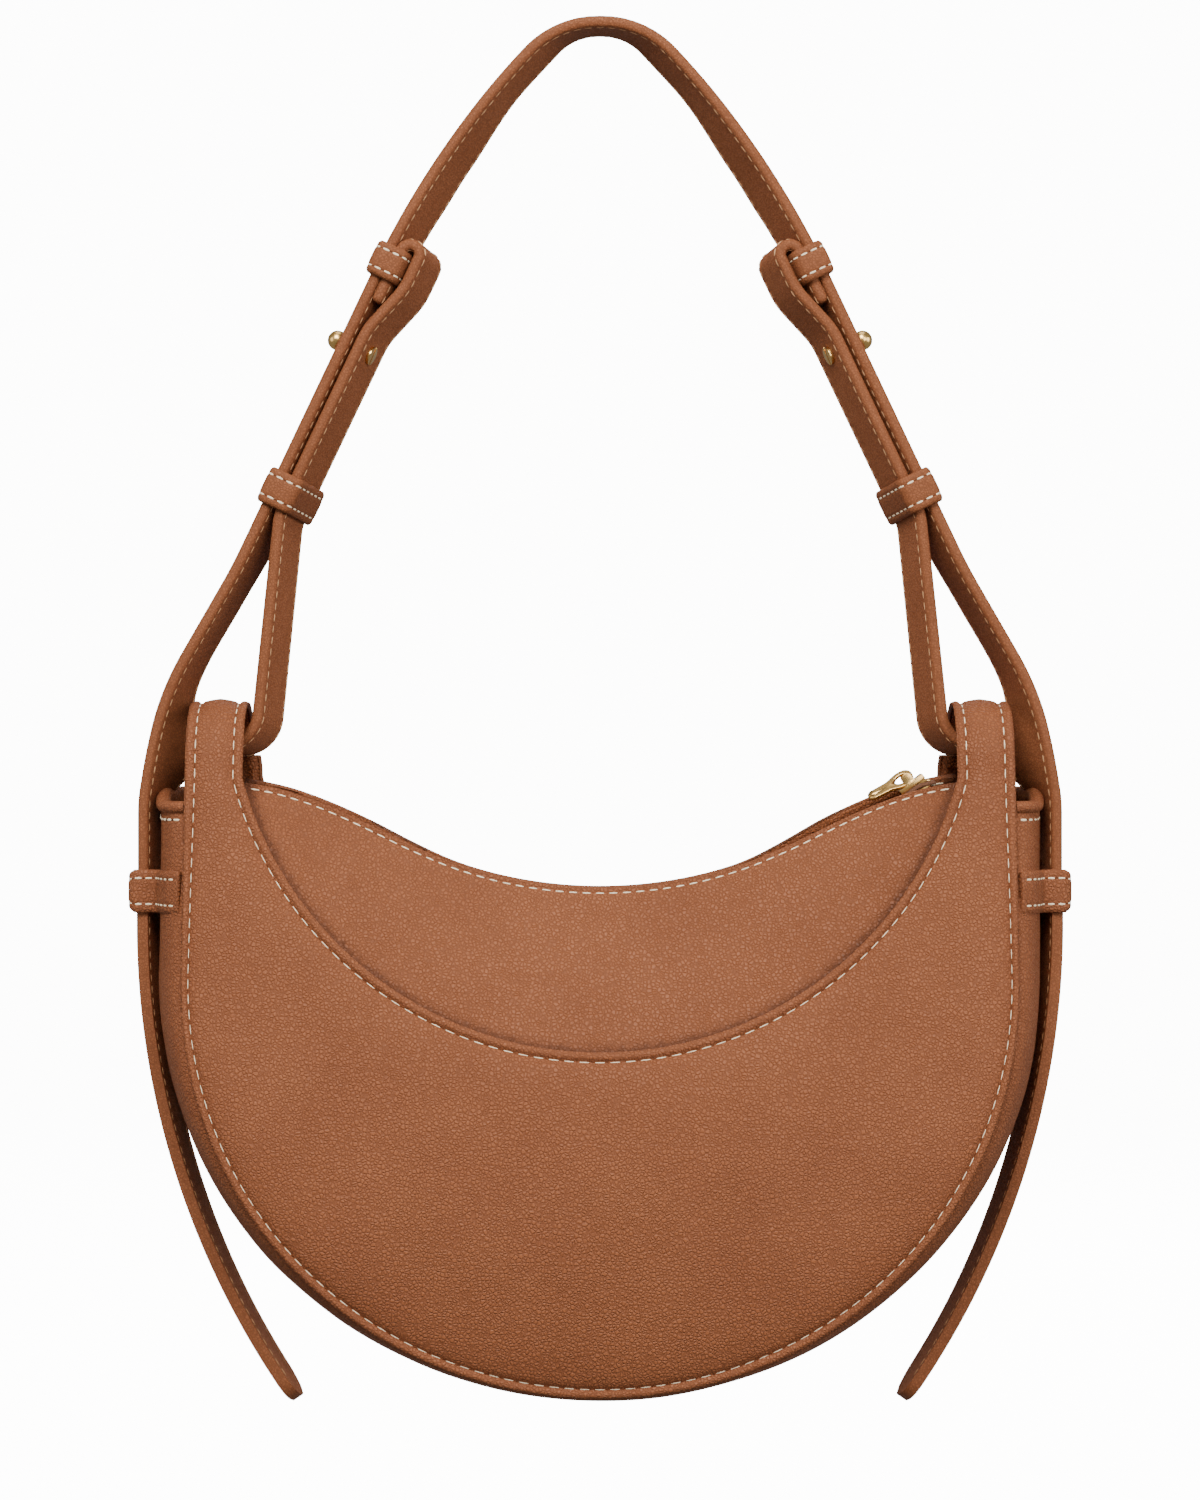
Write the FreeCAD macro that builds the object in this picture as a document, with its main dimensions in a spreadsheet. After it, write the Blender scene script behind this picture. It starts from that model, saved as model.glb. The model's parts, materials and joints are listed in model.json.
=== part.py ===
import FreeCAD, Part
import math
import os
import Sketcher
from FreeCAD import Placement, Rotation, Vector

# Half moon shoulder bag: two crescent panels whose horns fold over the top, a gusset round
# the edge, yokes with a zip between them, and a strap that ends in two free tails.
# Frame: the strap's highest underside point is the origin, +Z up, +X to the wearer's view
# right, -Y the front. All lengths are in millimetres.

os.makedirs("parts", exist_ok=True)
doc = FreeCAD.newDocument("half_moon_bag")

SIZES = [
    ("panel_width", 286, "outer width of the crescent panels"),
    ("panel_height", 239, "lowest panel edge to the top of the folded horns"),
    ("hang_height", 473, "lowest panel edge to the underside of the hung strap"),
    ("bag_depth", 76, "front panel to back panel at the seams"),
    ("front_bulge", 6, "how far the padded front swells past its seam"),
    ("waist_height", 126, "height at which the side profile starts to lean in"),
    ("fold_radius", 23, "outer radius of the horn where it folds over"),
    ("horn_width", 20, "width of a horn"),
    ("crescent_height", 118.3, "height of the crescent at its middle"),
    ("scoop_ease", 4.8, "how much the inner arc's radius exceeds half the horn gap"),
    ("leather", 2.2, "thickness of the panel leather"),
    ("seam_gap", 0.3, "space left between sewn layers"),
    ("gusset_bulge", 9.6, "how far the gusset swells past the panel edge"),
    ("gusset_tuck", 1.0, "how far the gusset seam lies inside the panel edge"),
    ("gusset_drop", 39.7, "top of the horns to the top of the gusset"),
    ("collar_radius", 3.5, "radius of the rolled gusset end"),
    ("yoke_lap", 6, "how far a yoke runs under the crescent"),
    ("mouth_half_gap", 9, "outer face of a yoke's top edge to the middle of the zip"),
    ("shoulder_drop", 29, "top of the horns to the ends of the yoke's top edge"),
    ("pad_thickness", 2.2, "thickness of the foam in the panels"),
    ("pad_inset", 13, "foam edge to panel edge"),
    ("lining_thickness", 0.8, "thickness of the lining"),
    ("strap_width", 20, "width of every strap"),
    ("strap_thickness", 3.6, "thickness of every strap"),
    ("toe_in", 4.8, "how much further in a strap's back edge lies than its front edge"),
    ("strap_standoff", 4.9, "gusset to the inner face of the hanging strap"),
    ("apex_half_width", 15.8, "middle to the corner of the strap's bend at its highest point"),
    ("apex_flat", 1, "straight runs either side of the bend at the highest point"),
    ("shoulder_reach", 61.9, "that corner to the corner of the next bend down"),
    ("kink_radius", 180, "radius of the strap below the lower keeper"),
    ("apex_ease", 12.8, "degrees, how much flatter the strap leaves its top than a line to the knee"),
    ("leg_ease", 1.3, "degrees, how much steeper the doubled run is than a line to the knee"),
    ("foot_ease", 3.3, "degrees, how much flatter the strap is than that line below the keeper"),
    ("tail_radius", 285, "radius of a free tail"),
    ("tail_turn", 35, "degrees, how far a tail curls in"),
    ("tunnel_drop", 16.5, "top of the horn to the axis of the strap's rolled end"),
    ("swing_clearance", 0.6, "space below the strap's rounded end"),
    ("rolled_radius", 5, "radius of the lower strap's rolled end"),
    ("rolled_play", 0.1, "radial play of the rolled end in the horn filler"),
    ("strap_gap", 0.4, "space between straps lying side by side"),
    ("doubled_gap", 1.6, "space between the two straps above the lower keeper"),
    ("keeper_wall", 2.2, "thickness of a keeper"),
    ("keeper_play", 0.35, "space between a keeper and the straps in it"),
    ("upper_keeper_height", 12, "length of an upper keeper along the strap"),
    ("lower_keeper_height", 13, "length of a lower keeper along the strap"),
    ("upper_keeper_rise", 4.3, "upper keeper's middle above the straight run's top"),
    ("loop_turn", 3.4, "radius of the lower strap's turn over the upper keeper"),
    ("short_end", 10, "straight run's top to the lower strap's short end"),
    ("ball_radius", 3.5, "radius of the stud's ball"),
    ("post_radius", 1.5, "radius of the stud's post"),
    ("hole_play", 0.3, "radial play of the stud's post in the straps"),
    ("screw_radius", 4, "radius of the stud's screw head"),
    ("screw_height", 1.4, "height of the stud's screw head"),
    ("loop_height", 15, "height of a side loop"),
    ("loop_drop", 67, "top of the horns to the middle of a side loop"),
    ("loop_wall", 2.2, "thickness of a side loop"),
    ("loop_play", 0.9, "space between a side loop and the strap in it"),
    ("tail_gap", 0.4, "space above a tail's rounded end"),
    ("tail_hole", 2, "radius of the spare stud holes in a tail"),
    ("chain_half_height", 1.1, "half the height of a zip tooth"),
    ("tooth_reach", 2.2, "tooth's outer end to the middle of the zip"),
    ("tooth_gap", 0.45, "tooth's inner end to the middle of the zip"),
    ("tooth_length", 1.3, "length of a tooth along the zip"),
    ("tape_thickness", 1.0, "thickness of the zip tape"),
    ("chain_rise", 36, "degrees of the zip chain either side of its lowest point"),
    ("slider_rest", 38.2, "degrees from the zip's lowest point to the closed slider"),
    ("slider_length", 10, "length of the zip slider"),
    ("slider_half_width", 4.4, "half the width of the zip slider"),
    ("slider_plate", 1.2, "thickness of the slider's plates"),
    ("slider_play", 0.4, "space between the slider and the zip"),
    ("lug_half_width", 3.1, "half the width over the slider's lugs"),
    ("eye_half_width", 1.7, "half the width of the puller's eye"),
    ("pin_radius", 0.7, "radius of the puller's pin"),
    ("eye_radius", 1.8, "outer radius of the puller's eye"),
    ("puller_length", 18, "pin to the tip of the puller"),
    ("puller_half_width", 3, "half the width of the puller"),
    ("puller_thickness", 1.3, "thickness of the puller"),
]

sheet = doc.addObject("Spreadsheet::Sheet", "sizes")
for row, (alias, number, note) in enumerate(SIZES, start=1):
    sheet.set(f"A{row}", note)
    sheet.set(f"B{row}", str(number))
    sheet.setAlias(f"B{row}", alias)
doc.recompute()


def size(text):
    """The value of an alias, or of an expression in aliases."""
    return float(sheet.evalExpression(text))


finished = {}


def origin_plane(body, role):
    return next(feature for feature in body.Origin.OriginFeatures if feature.Role == role)


def new_body(label):
    body = doc.addObject("PartDesign::Body", label)
    body.Label = label
    finished[label] = body
    return body


def new_sketch(body, name, role, offset=Placement()):
    sketch = body.newObject("Sketcher::SketchObject", f"{body.Label}_{name}")
    sketch.AttachmentSupport = [(origin_plane(body, role), "")]
    sketch.MapMode = "FlatFace"
    sketch.AttachmentOffset = offset
    return sketch


def along(distance):
    """Offset of a sketch along its plane's normal."""
    return Placement(Vector(0, 0, distance), Rotation())


def hold(sketch, kind, geometry, end, amount, text):
    """One coordinate of a point, bound to the sheet where it has an expression."""
    if abs(amount) < 1e-9 and text is None:
        axis = -2 if kind == "DistanceX" else -1
        sketch.addConstraint(Sketcher.Constraint("PointOnObject", geometry, end, axis))
        return
    index = sketch.addConstraint(Sketcher.Constraint(kind, -1, 1, geometry, end, amount))
    if text is not None:
        sketch.setExpression(f"Constraints[{index}]", text)


def amount_of(coordinate):
    """A coordinate is a number, or text that the sheet works out."""
    if isinstance(coordinate, str):
        return size(coordinate.replace("sizes.", "")), coordinate
    return float(coordinate), None


def draw(sketch, outline, closed=True):
    """Lines and arcs through points (x, y, bend). The bend is 0 for a line to the next point,
    or the arc's radius: positive turns left, negative turns right."""
    points = [(amount_of(x), amount_of(y), bend) for x, y, bend in outline]
    count = len(points) if closed else len(points) - 1
    ends = []
    for i in range(count):
        (x0, _), (y0, _), bend = points[i]
        (x1, _), (y1, _), _ = points[(i + 1) % len(points)]
        start, stop = Vector(x0, y0, 0), Vector(x1, y1, 0)
        if bend == 0:
            geometry = sketch.addGeometry(Part.LineSegment(start, stop))
            ends.append((geometry, 1, 2))
            continue
        radius = abs(bend)
        chord = stop - start
        rise = math.sqrt(max(radius ** 2 - (chord.Length / 2) ** 2, 0))
        left = Vector(-chord.y, chord.x, 0).normalize()
        centre = start + chord * 0.5 + left * math.copysign(rise, bend)
        first, last = (start, stop) if bend > 0 else (stop, start)
        angles = [math.atan2(p.y - centre.y, p.x - centre.x) for p in (first, last)]
        if angles[1] <= angles[0]:
            angles[1] += 2 * math.pi
        circle = Part.Circle(centre, Vector(0, 0, 1), radius)
        geometry = sketch.addGeometry(Part.ArcOfCircle(circle, *angles))
        sketch.addConstraint(Sketcher.Constraint("Radius", geometry, radius))
        ends.append((geometry, 1, 2) if bend > 0 else (geometry, 2, 1))
    for i, (geometry, begin, end) in enumerate(ends):
        (x, x_text), (y, y_text), _ = points[i]
        hold(sketch, "DistanceX", geometry, begin, x, x_text)
        hold(sketch, "DistanceY", geometry, begin, y, y_text)
        if i + 1 < len(ends) or closed:
            follower = ends[(i + 1) % len(ends)]
            sketch.addConstraint(
                Sketcher.Constraint("Coincident", geometry, end, follower[0], follower[1]))
        else:
            (x, x_text), (y, y_text), _ = points[i + 1]
            hold(sketch, "DistanceX", geometry, end, x, x_text)
            hold(sketch, "DistanceY", geometry, end, y, y_text)


def circle(sketch, x, y, radius):
    """A circle whose radius is an expression in the sheet."""
    amount = size(radius.replace("sizes.", ""))
    geometry = sketch.addGeometry(Part.Circle(Vector(x, y, 0), Vector(0, 0, 1), amount))
    index = sketch.addConstraint(Sketcher.Constraint("Radius", geometry, amount))
    sketch.setExpression(f"Constraints[{index}]", radius)
    hold(sketch, "DistanceX", geometry, 3, x, None)
    hold(sketch, "DistanceY", geometry, 3, y, None)


def pad(body, sketch, length, symmetric=True):
    feature = body.newObject("PartDesign::Pad", f"{sketch.Name}_pad")
    feature.Profile = sketch
    feature.SideType = "Symmetric" if symmetric else "One side"
    feature.setExpression("Length", length)
    return feature


def pocket(body, sketch, length="sizes.hang_height * 4"):
    """Cuts evenly either way from the sketch, through the whole body if no length is given."""
    feature = body.newObject("PartDesign::Pocket", f"{sketch.Name}_pocket")
    feature.Profile = sketch
    feature.SideType = "Symmetric"
    feature.setExpression("Length", length)
    return feature


def loft(body, sketches, ruled):
    feature = body.newObject("PartDesign::AdditiveLoft", f"{body.Label}_loft")
    feature.Profile = sketches[0]
    feature.Sections = sketches[1:]
    feature.Ruled = ruled
    return feature


def box_outline(left, low, right, high):
    return [(left, low, 0), (right, low, 0), (right, high, 0), (left, high, 0)]


# Levels and widths that several pieces share.
half_width = size("panel_width / 2")
half_depth = size("bag_depth / 2")
bottom = size("-hang_height")
top = size("panel_height - hang_height")
leather = size("leather")
gap = size("seam_gap")
fold_radius = size("fold_radius")
fold_centre = top - fold_radius
waist = bottom + size("waist_height")
hinge_level = top - size("tunnel_drop")
round_centre = bottom + half_width
horn_inner = half_width - size("horn_width")
scoop_radius = horn_inner + size("scoop_ease")
scoop_low = bottom + size("crescent_height")
scoop_centre = scoop_low + scoop_radius
far = 2 * size("hang_height")
SIDES = (("left", -1), ("right", 1))


# The side profile: a swelling arc up to the waist, then a line that touches the fold's circle.
bulge = size("front_bulge")
belly_half = (waist - bottom) / 2
belly_radius = (belly_half ** 2 + bulge ** 2) / (2 * bulge)
reach = math.hypot(half_depth, fold_centre - waist)
lean_in = math.atan2(half_depth, fold_centre - waist) - math.asin(fold_radius / reach)


def belly(level, inset):
    """How far the front swells past half the depth at a level, less an inset."""
    rise = level - bottom - belly_half
    return half_depth + bulge - belly_radius + math.sqrt((belly_radius - inset) ** 2 - rise ** 2)


def touch(inset):
    """Where the leaning line touches the fold's circle, as half depth and level."""
    radius = fold_radius - inset
    return radius * math.cos(lean_in), fold_centre + radius * math.sin(lean_in)


def front_half_depth(level, inset):
    """Distance of the front panel from the middle, inset from its outer face."""
    if level <= waist:
        return belly(max(level, bottom), inset)
    return belly(waist, inset) - (level - waist) * math.tan(lean_in)


def crescent_outline():
    """Half moon with the scoop taken out and two horns that run up past the fold."""
    over = top + fold_radius
    meet = scoop_centre - math.sqrt(scoop_radius ** 2 - horn_inner ** 2)
    return [
        ("-sizes.panel_width / 2", round_centre, half_width),
        (0, "-sizes.hang_height", half_width),
        ("sizes.panel_width / 2", round_centre, 0),
        ("sizes.panel_width / 2", over, 0),
        ("sizes.panel_width / 2 - sizes.horn_width", over, 0),
        ("sizes.panel_width / 2 - sizes.horn_width", meet, -scoop_radius),
        (0, scoop_low, -scoop_radius),
        ("sizes.horn_width - sizes.panel_width / 2", meet, 0),
        ("sizes.horn_width - sizes.panel_width / 2", over, 0),
        ("-sizes.panel_width / 2", over, 0),
    ]


def keep_inside(body, name, outline, role):
    """Cuts away everything outside an outline, seen along one axis."""
    sketch = new_sketch(body, name, role)
    draw(sketch, box_outline(-far, -far, far, far))
    draw(sketch, outline)
    return pocket(body, sketch)


def make_crescents():
    outer_touch, outer_level = touch(0)
    inner_touch, inner_level = touch(leather)
    inner_radius = fold_radius - leather
    front = new_body("front_crescent")
    side = new_sketch(front, "side", "YZ_Plane")
    draw(side, [
        (-belly(bottom, 0), bottom, -belly_radius),
        (-belly(waist, 0), waist, 0),
        (-outer_touch, outer_level, -fold_radius),
        (0, top, -fold_radius),
        (outer_touch, outer_level, 0),
        (inner_touch, inner_level, inner_radius),
        (0, top - leather, inner_radius),
        (-inner_touch, inner_level, 0),
        (-belly(waist, leather), waist, belly_radius - leather),
        (-belly(bottom, leather), bottom, 0),
    ])
    pad(front, side, "sizes.panel_width * 2")
    keep_inside(front, "outline", crescent_outline(), "XZ_Plane")

    back = new_body("back_crescent")
    side = new_sketch(back, "side", "YZ_Plane")
    slope = math.tan(lean_in)
    draw(side, [
        ("sizes.bag_depth / 2", bottom, 0),
        ("sizes.bag_depth / 2", waist, 0),
        (outer_touch + gap * slope, outer_level - gap, 0),
        (inner_touch + gap * slope, inner_level - gap, 0),
        ("sizes.bag_depth / 2 - sizes.leather", waist, 0),
        ("sizes.bag_depth / 2 - sizes.leather", bottom, 0),
    ])
    pad(back, side, "sizes.panel_width * 2")
    keep_inside(back, "outline", crescent_outline(), "XZ_Plane")


def inside_profile(inset, low, high):
    """Outline between the two panels' inner faces, seen from the side."""
    back = half_depth - inset
    lean = (high - waist) * math.tan(lean_in)
    return [
        (-belly(bottom, inset), low, 0),
        (back, low, 0),
        (back, waist, 0),
        (back - lean, high, 0),
        (-front_half_depth(high, inset), high, 0),
        (-belly(waist, inset), waist, belly_radius - inset),
        (-belly(bottom, inset), bottom, 0),
    ]


# The gusset's cross-section is an arc that swells out between the two seams.
seam_half = half_depth - leather - gap
sag = size("gusset_bulge + gusset_tuck")
swell_radius = (seam_half ** 2 + sag ** 2) / (2 * sag)
gusset_out = half_width + size("gusset_bulge")
swell_centre = gusset_out - swell_radius
gusset_top = top - size("gusset_drop")
inside = leather + gap


def make_gusset():
    body = new_body("gusset")
    path = new_sketch(body, "path", "XZ_Plane")
    draw(path, [
        ("-sizes.panel_width / 2", gusset_top, 0),
        ("-sizes.panel_width / 2", round_centre, half_width),
        (0, bottom, half_width),
        ("sizes.panel_width / 2", round_centre, 0),
        ("sizes.panel_width / 2", gusset_top, 0),
    ], closed=False)
    strip = new_sketch(body, "strip", "XY_Plane", along(gusset_top))
    edge = half_depth + bulge
    outer = swell_centre + math.sqrt(swell_radius ** 2 - edge ** 2)
    inner = swell_centre + math.sqrt((swell_radius - leather) ** 2 - edge ** 2)
    draw(strip, [
        (-outer, -edge, -swell_radius),
        (-outer, edge, 0),
        (-inner, edge, swell_radius - leather),
        (-inner, -edge, 0),
    ])
    pipe = body.newObject("PartDesign::AdditivePipe", "gusset_pipe")
    pipe.Profile = strip
    pipe.Spine = (path, [f"Edge{i}" for i in range(1, 5)])
    profile = inside_profile(inside, bottom - half_depth, gusset_top + fold_radius / 2)
    keep_inside(body, "trim", profile, "YZ_Plane")

    collar = size("collar_radius")
    level = gusset_top + collar + gap / 2
    centre_radius = swell_radius - leather / 2
    limit = half_depth - inside - (level + collar - waist) * math.tan(lean_in)
    turn = math.degrees(math.asin(limit / (centre_radius + collar)))
    for name, side in SIDES:
        binding = new_body(f"{name}_gusset_binding")
        sketch = new_sketch(binding, "roll", "XZ_Plane")
        circle(sketch, centre_radius, 0, "sizes.collar_radius")
        ring = binding.newObject("PartDesign::Revolution", f"{name}_binding_ring")
        ring.Profile = sketch
        ring.ReferenceAxis = (sketch, ["V_Axis"])
        ring.Angle = 2 * turn
        ring.Midplane = True
        flip = Rotation(Vector(0, 0, 1), 0 if side > 0 else 180)
        binding.Placement = Placement(Vector(side * swell_centre, 0, level), flip)


# The yoke's top edge dips in the middle; stations are shares of half the mouth and of its dip.
mouth_half = horn_inner + leather
mouth_dip = 0.295 * mouth_half
STATION_SHARES = ((0, 0), (0.14, 0.027), (0.28, 0.109), (0.41, 0.24), (0.53, 0.41), (0.63, 0.575),
                  (0.72, 0.717), (0.8, 0.828), (0.87, 0.908), (0.94, 0.965), (1, 1))
mouth_shoulder = top - size("shoulder_drop")


def yoke_stations():
    """Place along X, top level and bottom level of each cross-section, left to right."""
    lap_radius = scoop_radius + size("yoke_lap")
    stations = []
    for place_share, dip_share in STATION_SHARES:
        place = place_share * mouth_half
        high = mouth_shoulder - mouth_dip * (1 - dip_share)
        low = scoop_centre - math.sqrt(lap_radius ** 2 - place ** 2)
        stations.append((place, high, low))
    mirrored = [(-place, high, low) for place, high, low in reversed(stations[1:])]
    return mirrored + stations


def make_yoke(label, facing):
    body = new_body(label)
    sketches = []
    for number, (place, high, low) in enumerate(yoke_stations()):
        sketch = new_sketch(body, f"section_{number}", "YZ_Plane", along(place))
        if facing < 0:
            low_y = front_half_depth(low, inside)
        else:
            low_y = half_depth - inside - max(low - waist, 0) * math.tan(lean_in)
        high_y = size("mouth_half_gap")
        wall = leather * math.hypot(low_y - high_y, high - low) / (high - low)
        draw(sketch, [
            (facing * low_y, low, 0),
            (facing * (low_y - wall), low, 0),
            (facing * (high_y - wall), high, 0),
            (facing * high_y, high, 0),
        ])
        sketches.append(sketch)
    loft(body, sketches, ruled=True)
    return body


def make_padding(label, facing):
    """Foam between a panel's leather and the lining, shaped as a lune."""
    body = new_body(label)
    layer = leather + gap / 2
    deep = layer + size("pad_thickness")
    side = new_sketch(body, "side", "YZ_Plane")
    if facing < 0:
        draw(side, [
            (-belly(bottom, layer), bottom, -(belly_radius - layer)),
            (-belly(waist, layer), waist, 0),
            (-front_half_depth(mouth_shoulder, layer), mouth_shoulder, 0),
            (-front_half_depth(mouth_shoulder, deep), mouth_shoulder, 0),
            (-belly(waist, deep), waist, belly_radius - deep),
            (-belly(bottom, deep), bottom, 0),
        ])
    else:
        shrink = (mouth_shoulder - waist) * math.tan(lean_in)
        draw(side, [
            (half_depth - layer, bottom, 0),
            (half_depth - layer, waist, 0),
            (half_depth - layer - shrink, mouth_shoulder, 0),
            (half_depth - deep - shrink, mouth_shoulder, 0),
            (half_depth - deep, waist, 0),
            (half_depth - deep, bottom, 0),
        ])
    pad(body, side, "sizes.panel_width * 2")
    outer = half_width - size("pad_inset")
    inner = scoop_radius + size("yoke_lap") + size("pad_thickness")
    apart = scoop_centre - round_centre
    rise = (outer ** 2 - inner ** 2 + apart ** 2) / (2 * apart)
    tip = math.sqrt(outer ** 2 - rise ** 2)
    level = round_centre + rise
    lune = [
        (-tip, level, outer),
        (0, round_centre - outer, outer),
        (tip, level, -inner),
        (0, scoop_centre - inner, -inner),
    ]
    if rise > 0:
        lune = [(-tip, level, outer), (-outer, round_centre, outer), (0, round_centre - outer, outer),
                (outer, round_centre, outer), (tip, level, -inner), (0, scoop_centre - inner, -inner)]
    keep_inside(body, "outline", lune, "XZ_Plane")


# Zip: everything follows one arc whose centre lies above the mouth.
zip_radius = 1.425 * mouth_half
mouth_low = mouth_shoulder - mouth_dip
zip_low = mouth_low - 1.7 * leather
zip_centre = zip_low + zip_radius


def zip_frame(degrees, rise=0):
    """Placement on the zip's arc: X along it to the right, Z out of the bag."""
    angle = math.radians(degrees)
    radius = zip_radius - rise
    spot = Vector(radius * math.sin(angle), 0, zip_centre - radius * math.cos(angle))
    return Placement(spot, Rotation(Vector(0, 1, 0), -degrees))


def make_tape(name, facing, yoke):
    """One tape, trimmed where it meets the inner face of its yoke."""
    body = doc.addObject("PartDesign::Body", f"{name}_tape_strip")
    middle = facing * size("(mouth_half_gap - seam_gap + tooth_reach + rolled_play) / 2")
    sketch = new_sketch(body, "arc", "XZ_Plane", along(-middle))
    end = math.radians(size("chain_rise + slider_rest") / 2 + 3.8)
    strip = zip_strip(end, size("tape_thickness / 2"))
    draw(sketch, [(x, zip_centre + z, bend) for x, z, bend in strip])
    pad(body, sketch, "sizes.mouth_half_gap - sizes.seam_gap - sizes.tooth_reach - sizes.rolled_play")
    cut = doc.addObject("Part::Cut", f"{name}_zip_tape")
    cut.Label = f"{name}_zip_tape"
    cut.Base = body
    cut.Tool = yoke
    finished[cut.Label] = cut


def zip_strip(end, half):
    """Outline of a thin strip along the zip's arc, drawn about the arc's centre."""
    rim = []
    for radius, way in ((zip_radius + half, 1), (zip_radius - half, -1)):
        for turn in (-end, 0, end):
            angle = way * turn
            bend = 0 if turn == end else way * radius
            rim.append((radius * math.sin(angle), -radius * math.cos(angle), bend))
    return rim


def make_teeth(name, facing):
    """A row of teeth on the bead along the edge of its tape."""
    body = new_body(f"{name}_zip_teeth")
    pitch = 2 * size("tooth_length") / zip_radius
    span = math.radians(size("2 * chain_rise"))
    count = int(span / pitch) + 1
    start = -span / 2 + (pitch / 2 if facing > 0 else 0)
    middle = facing * size("(tooth_reach + tooth_gap) / 2")
    bead = new_sketch(body, "bead", "XZ_Plane", along(-(middle + facing * size("tooth_gap"))))
    draw(bead, zip_strip(span / 2 + pitch / 2, size("tape_thickness / 3")))
    pad(body, bead, "sizes.tooth_gap")
    sketch = new_sketch(body, "tooth", "XZ_Plane", along(-middle))
    half = size("chain_half_height")
    half_long = size("tooth_length / 2")
    tooth = []
    for x, z in ((-half_long, half), (half_long, half), (half_long, -half), (-half_long, -half)):
        radius = zip_radius + z
        turn = start + x / zip_radius
        tooth.append((radius * math.sin(turn), -radius * math.cos(turn), 0))
    draw(sketch, tooth)
    first = pad(body, sketch, "sizes.tooth_reach - sizes.tooth_gap")
    row = body.newObject("PartDesign::PolarPattern", f"{name}_row")
    row.Originals = [first]
    row.Axis = (origin_plane(body, "Y_Axis"), [""])
    row.Angle = math.degrees(pitch * (count - 1))
    row.Occurrences = count
    row.Reversed = True
    body.Tip = row
    body.Placement = Placement(Vector(0, 0, zip_centre), Rotation())


def make_slider():
    body = new_body("zip_slider")
    section = new_sketch(body, "section", "YZ_Plane")
    wide = size("slider_half_width")
    inner = size("chain_half_height + slider_play")
    outer = inner + size("slider_plate")
    lip = size("tape_thickness / 2 + slider_play")
    web = size("tooth_gap / 2")
    wall = wide - size("tooth_reach + slider_play")
    shelf = wide - wall
    upper = [(web, inner, 0), (shelf, inner, 0), (shelf, lip, 0), (wide, lip, 0), (wide, outer, 0)]
    right = [(y, -z, 0) for y, z, _ in reversed(upper)] + upper
    left = [(-y, -z, 0) for y, z, _ in right]
    draw(section, right + left)
    pad(body, section, "sizes.slider_length")
    pin_level = outer + size("eye_radius + hole_play / 2")
    lug_half = size("eye_radius")
    lugs = new_sketch(body, "lugs", "XZ_Plane")
    draw(lugs, [
        (-lug_half, outer - size("slider_plate / 2"), 0),
        (lug_half, outer - size("slider_plate / 2"), 0),
        (lug_half, pin_level, lug_half),
        (0, pin_level + lug_half, lug_half),
        (-lug_half, pin_level, 0),
    ])
    pad(body, lugs, "sizes.lug_half_width * 2")
    slot = new_sketch(body, "slot", "XZ_Plane")
    draw(slot, box_outline(-wide, outer, wide, 2 * outer + pin_level))
    pocket(body, slot, "(sizes.eye_half_width + sizes.hole_play / 2) * 2")
    pin = new_sketch(body, "pin", "XZ_Plane")
    circle(pin, 0, pin_level, "sizes.pin_radius")
    pad(body, pin, "sizes.lug_half_width * 2")
    body.Placement = zip_frame(size("slider_rest"))
    return pin_level


def make_puller(pin_level):
    """An eye round the slider's pin and a tapered tongue with a window near the eye."""
    body = new_body("zip_puller")
    eye = new_sketch(body, "eye", "XZ_Plane")
    circle(eye, 0, 0, "sizes.eye_radius")
    pad(body, eye, "sizes.eye_half_width * 2")
    tongue = new_sketch(body, "tongue", "XY_Plane")
    reach_out = size("puller_length")
    wide = size("puller_half_width")
    neck = size("eye_half_width")
    start = size("eye_radius") / 2
    tip = wide * 0.6
    clear = size("slider_length / 2")
    draw(tongue, [
        (-start, -neck, 0), (-start, neck, 0), (-clear, neck, 0), (-clear - wide / 2, wide, 0),
        (-reach_out + tip, tip, tip), (-reach_out, 0, tip), (-reach_out + tip, -tip, 0),
        (-clear - wide / 2, -wide, 0), (-clear, -neck, 0),
    ])
    pad(body, tongue, "sizes.puller_thickness")
    window = new_sketch(body, "window", "XY_Plane")
    edge = wide * 0.55
    near = clear + wide * 0.7
    draw(window, box_outline(-near - 2 * edge, -edge, -near, edge))
    pocket(body, window)
    bore = new_sketch(body, "bore", "XZ_Plane")
    circle(bore, 0, 0, "sizes.pin_radius + sizes.rolled_play")
    pocket(body, bore)
    body.Placement = zip_frame(size("slider_rest"), pin_level)


def make_stops():
    """Crimped ends of the chain, one on each tape beyond the slider and one pair at the left."""
    pieces = []
    spots = (("right", size("slider_rest") + 1.9), ("left", -size("chain_rise") - 1.6))
    for name, degrees in spots:
        for facing in (-1, 1):
            stop = doc.addObject("Part::Box", f"{name}_stop_{'front' if facing < 0 else 'back'}")
            stop.setExpression("Length", "sizes.tooth_length * 1.5")
            stop.setExpression("Width", "sizes.tooth_reach - sizes.tooth_gap")
            stop.setExpression("Height", "sizes.chain_half_height - sizes.tape_thickness / 2")
            frame = zip_frame(degrees)
            across = size("tooth_gap") if facing > 0 else -size("tooth_reach")
            shift = Vector(0, across, size("tape_thickness / 2 + rolled_play / 2"))
            stop.Placement = Placement(frame.multVec(shift), frame.Rotation)
            pieces.append(stop)
    group = doc.addObject("Part::Compound", "zip_end_stops")
    group.Label = "zip_end_stops"
    group.Links = pieces
    finished["zip_end_stops"] = group


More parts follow.
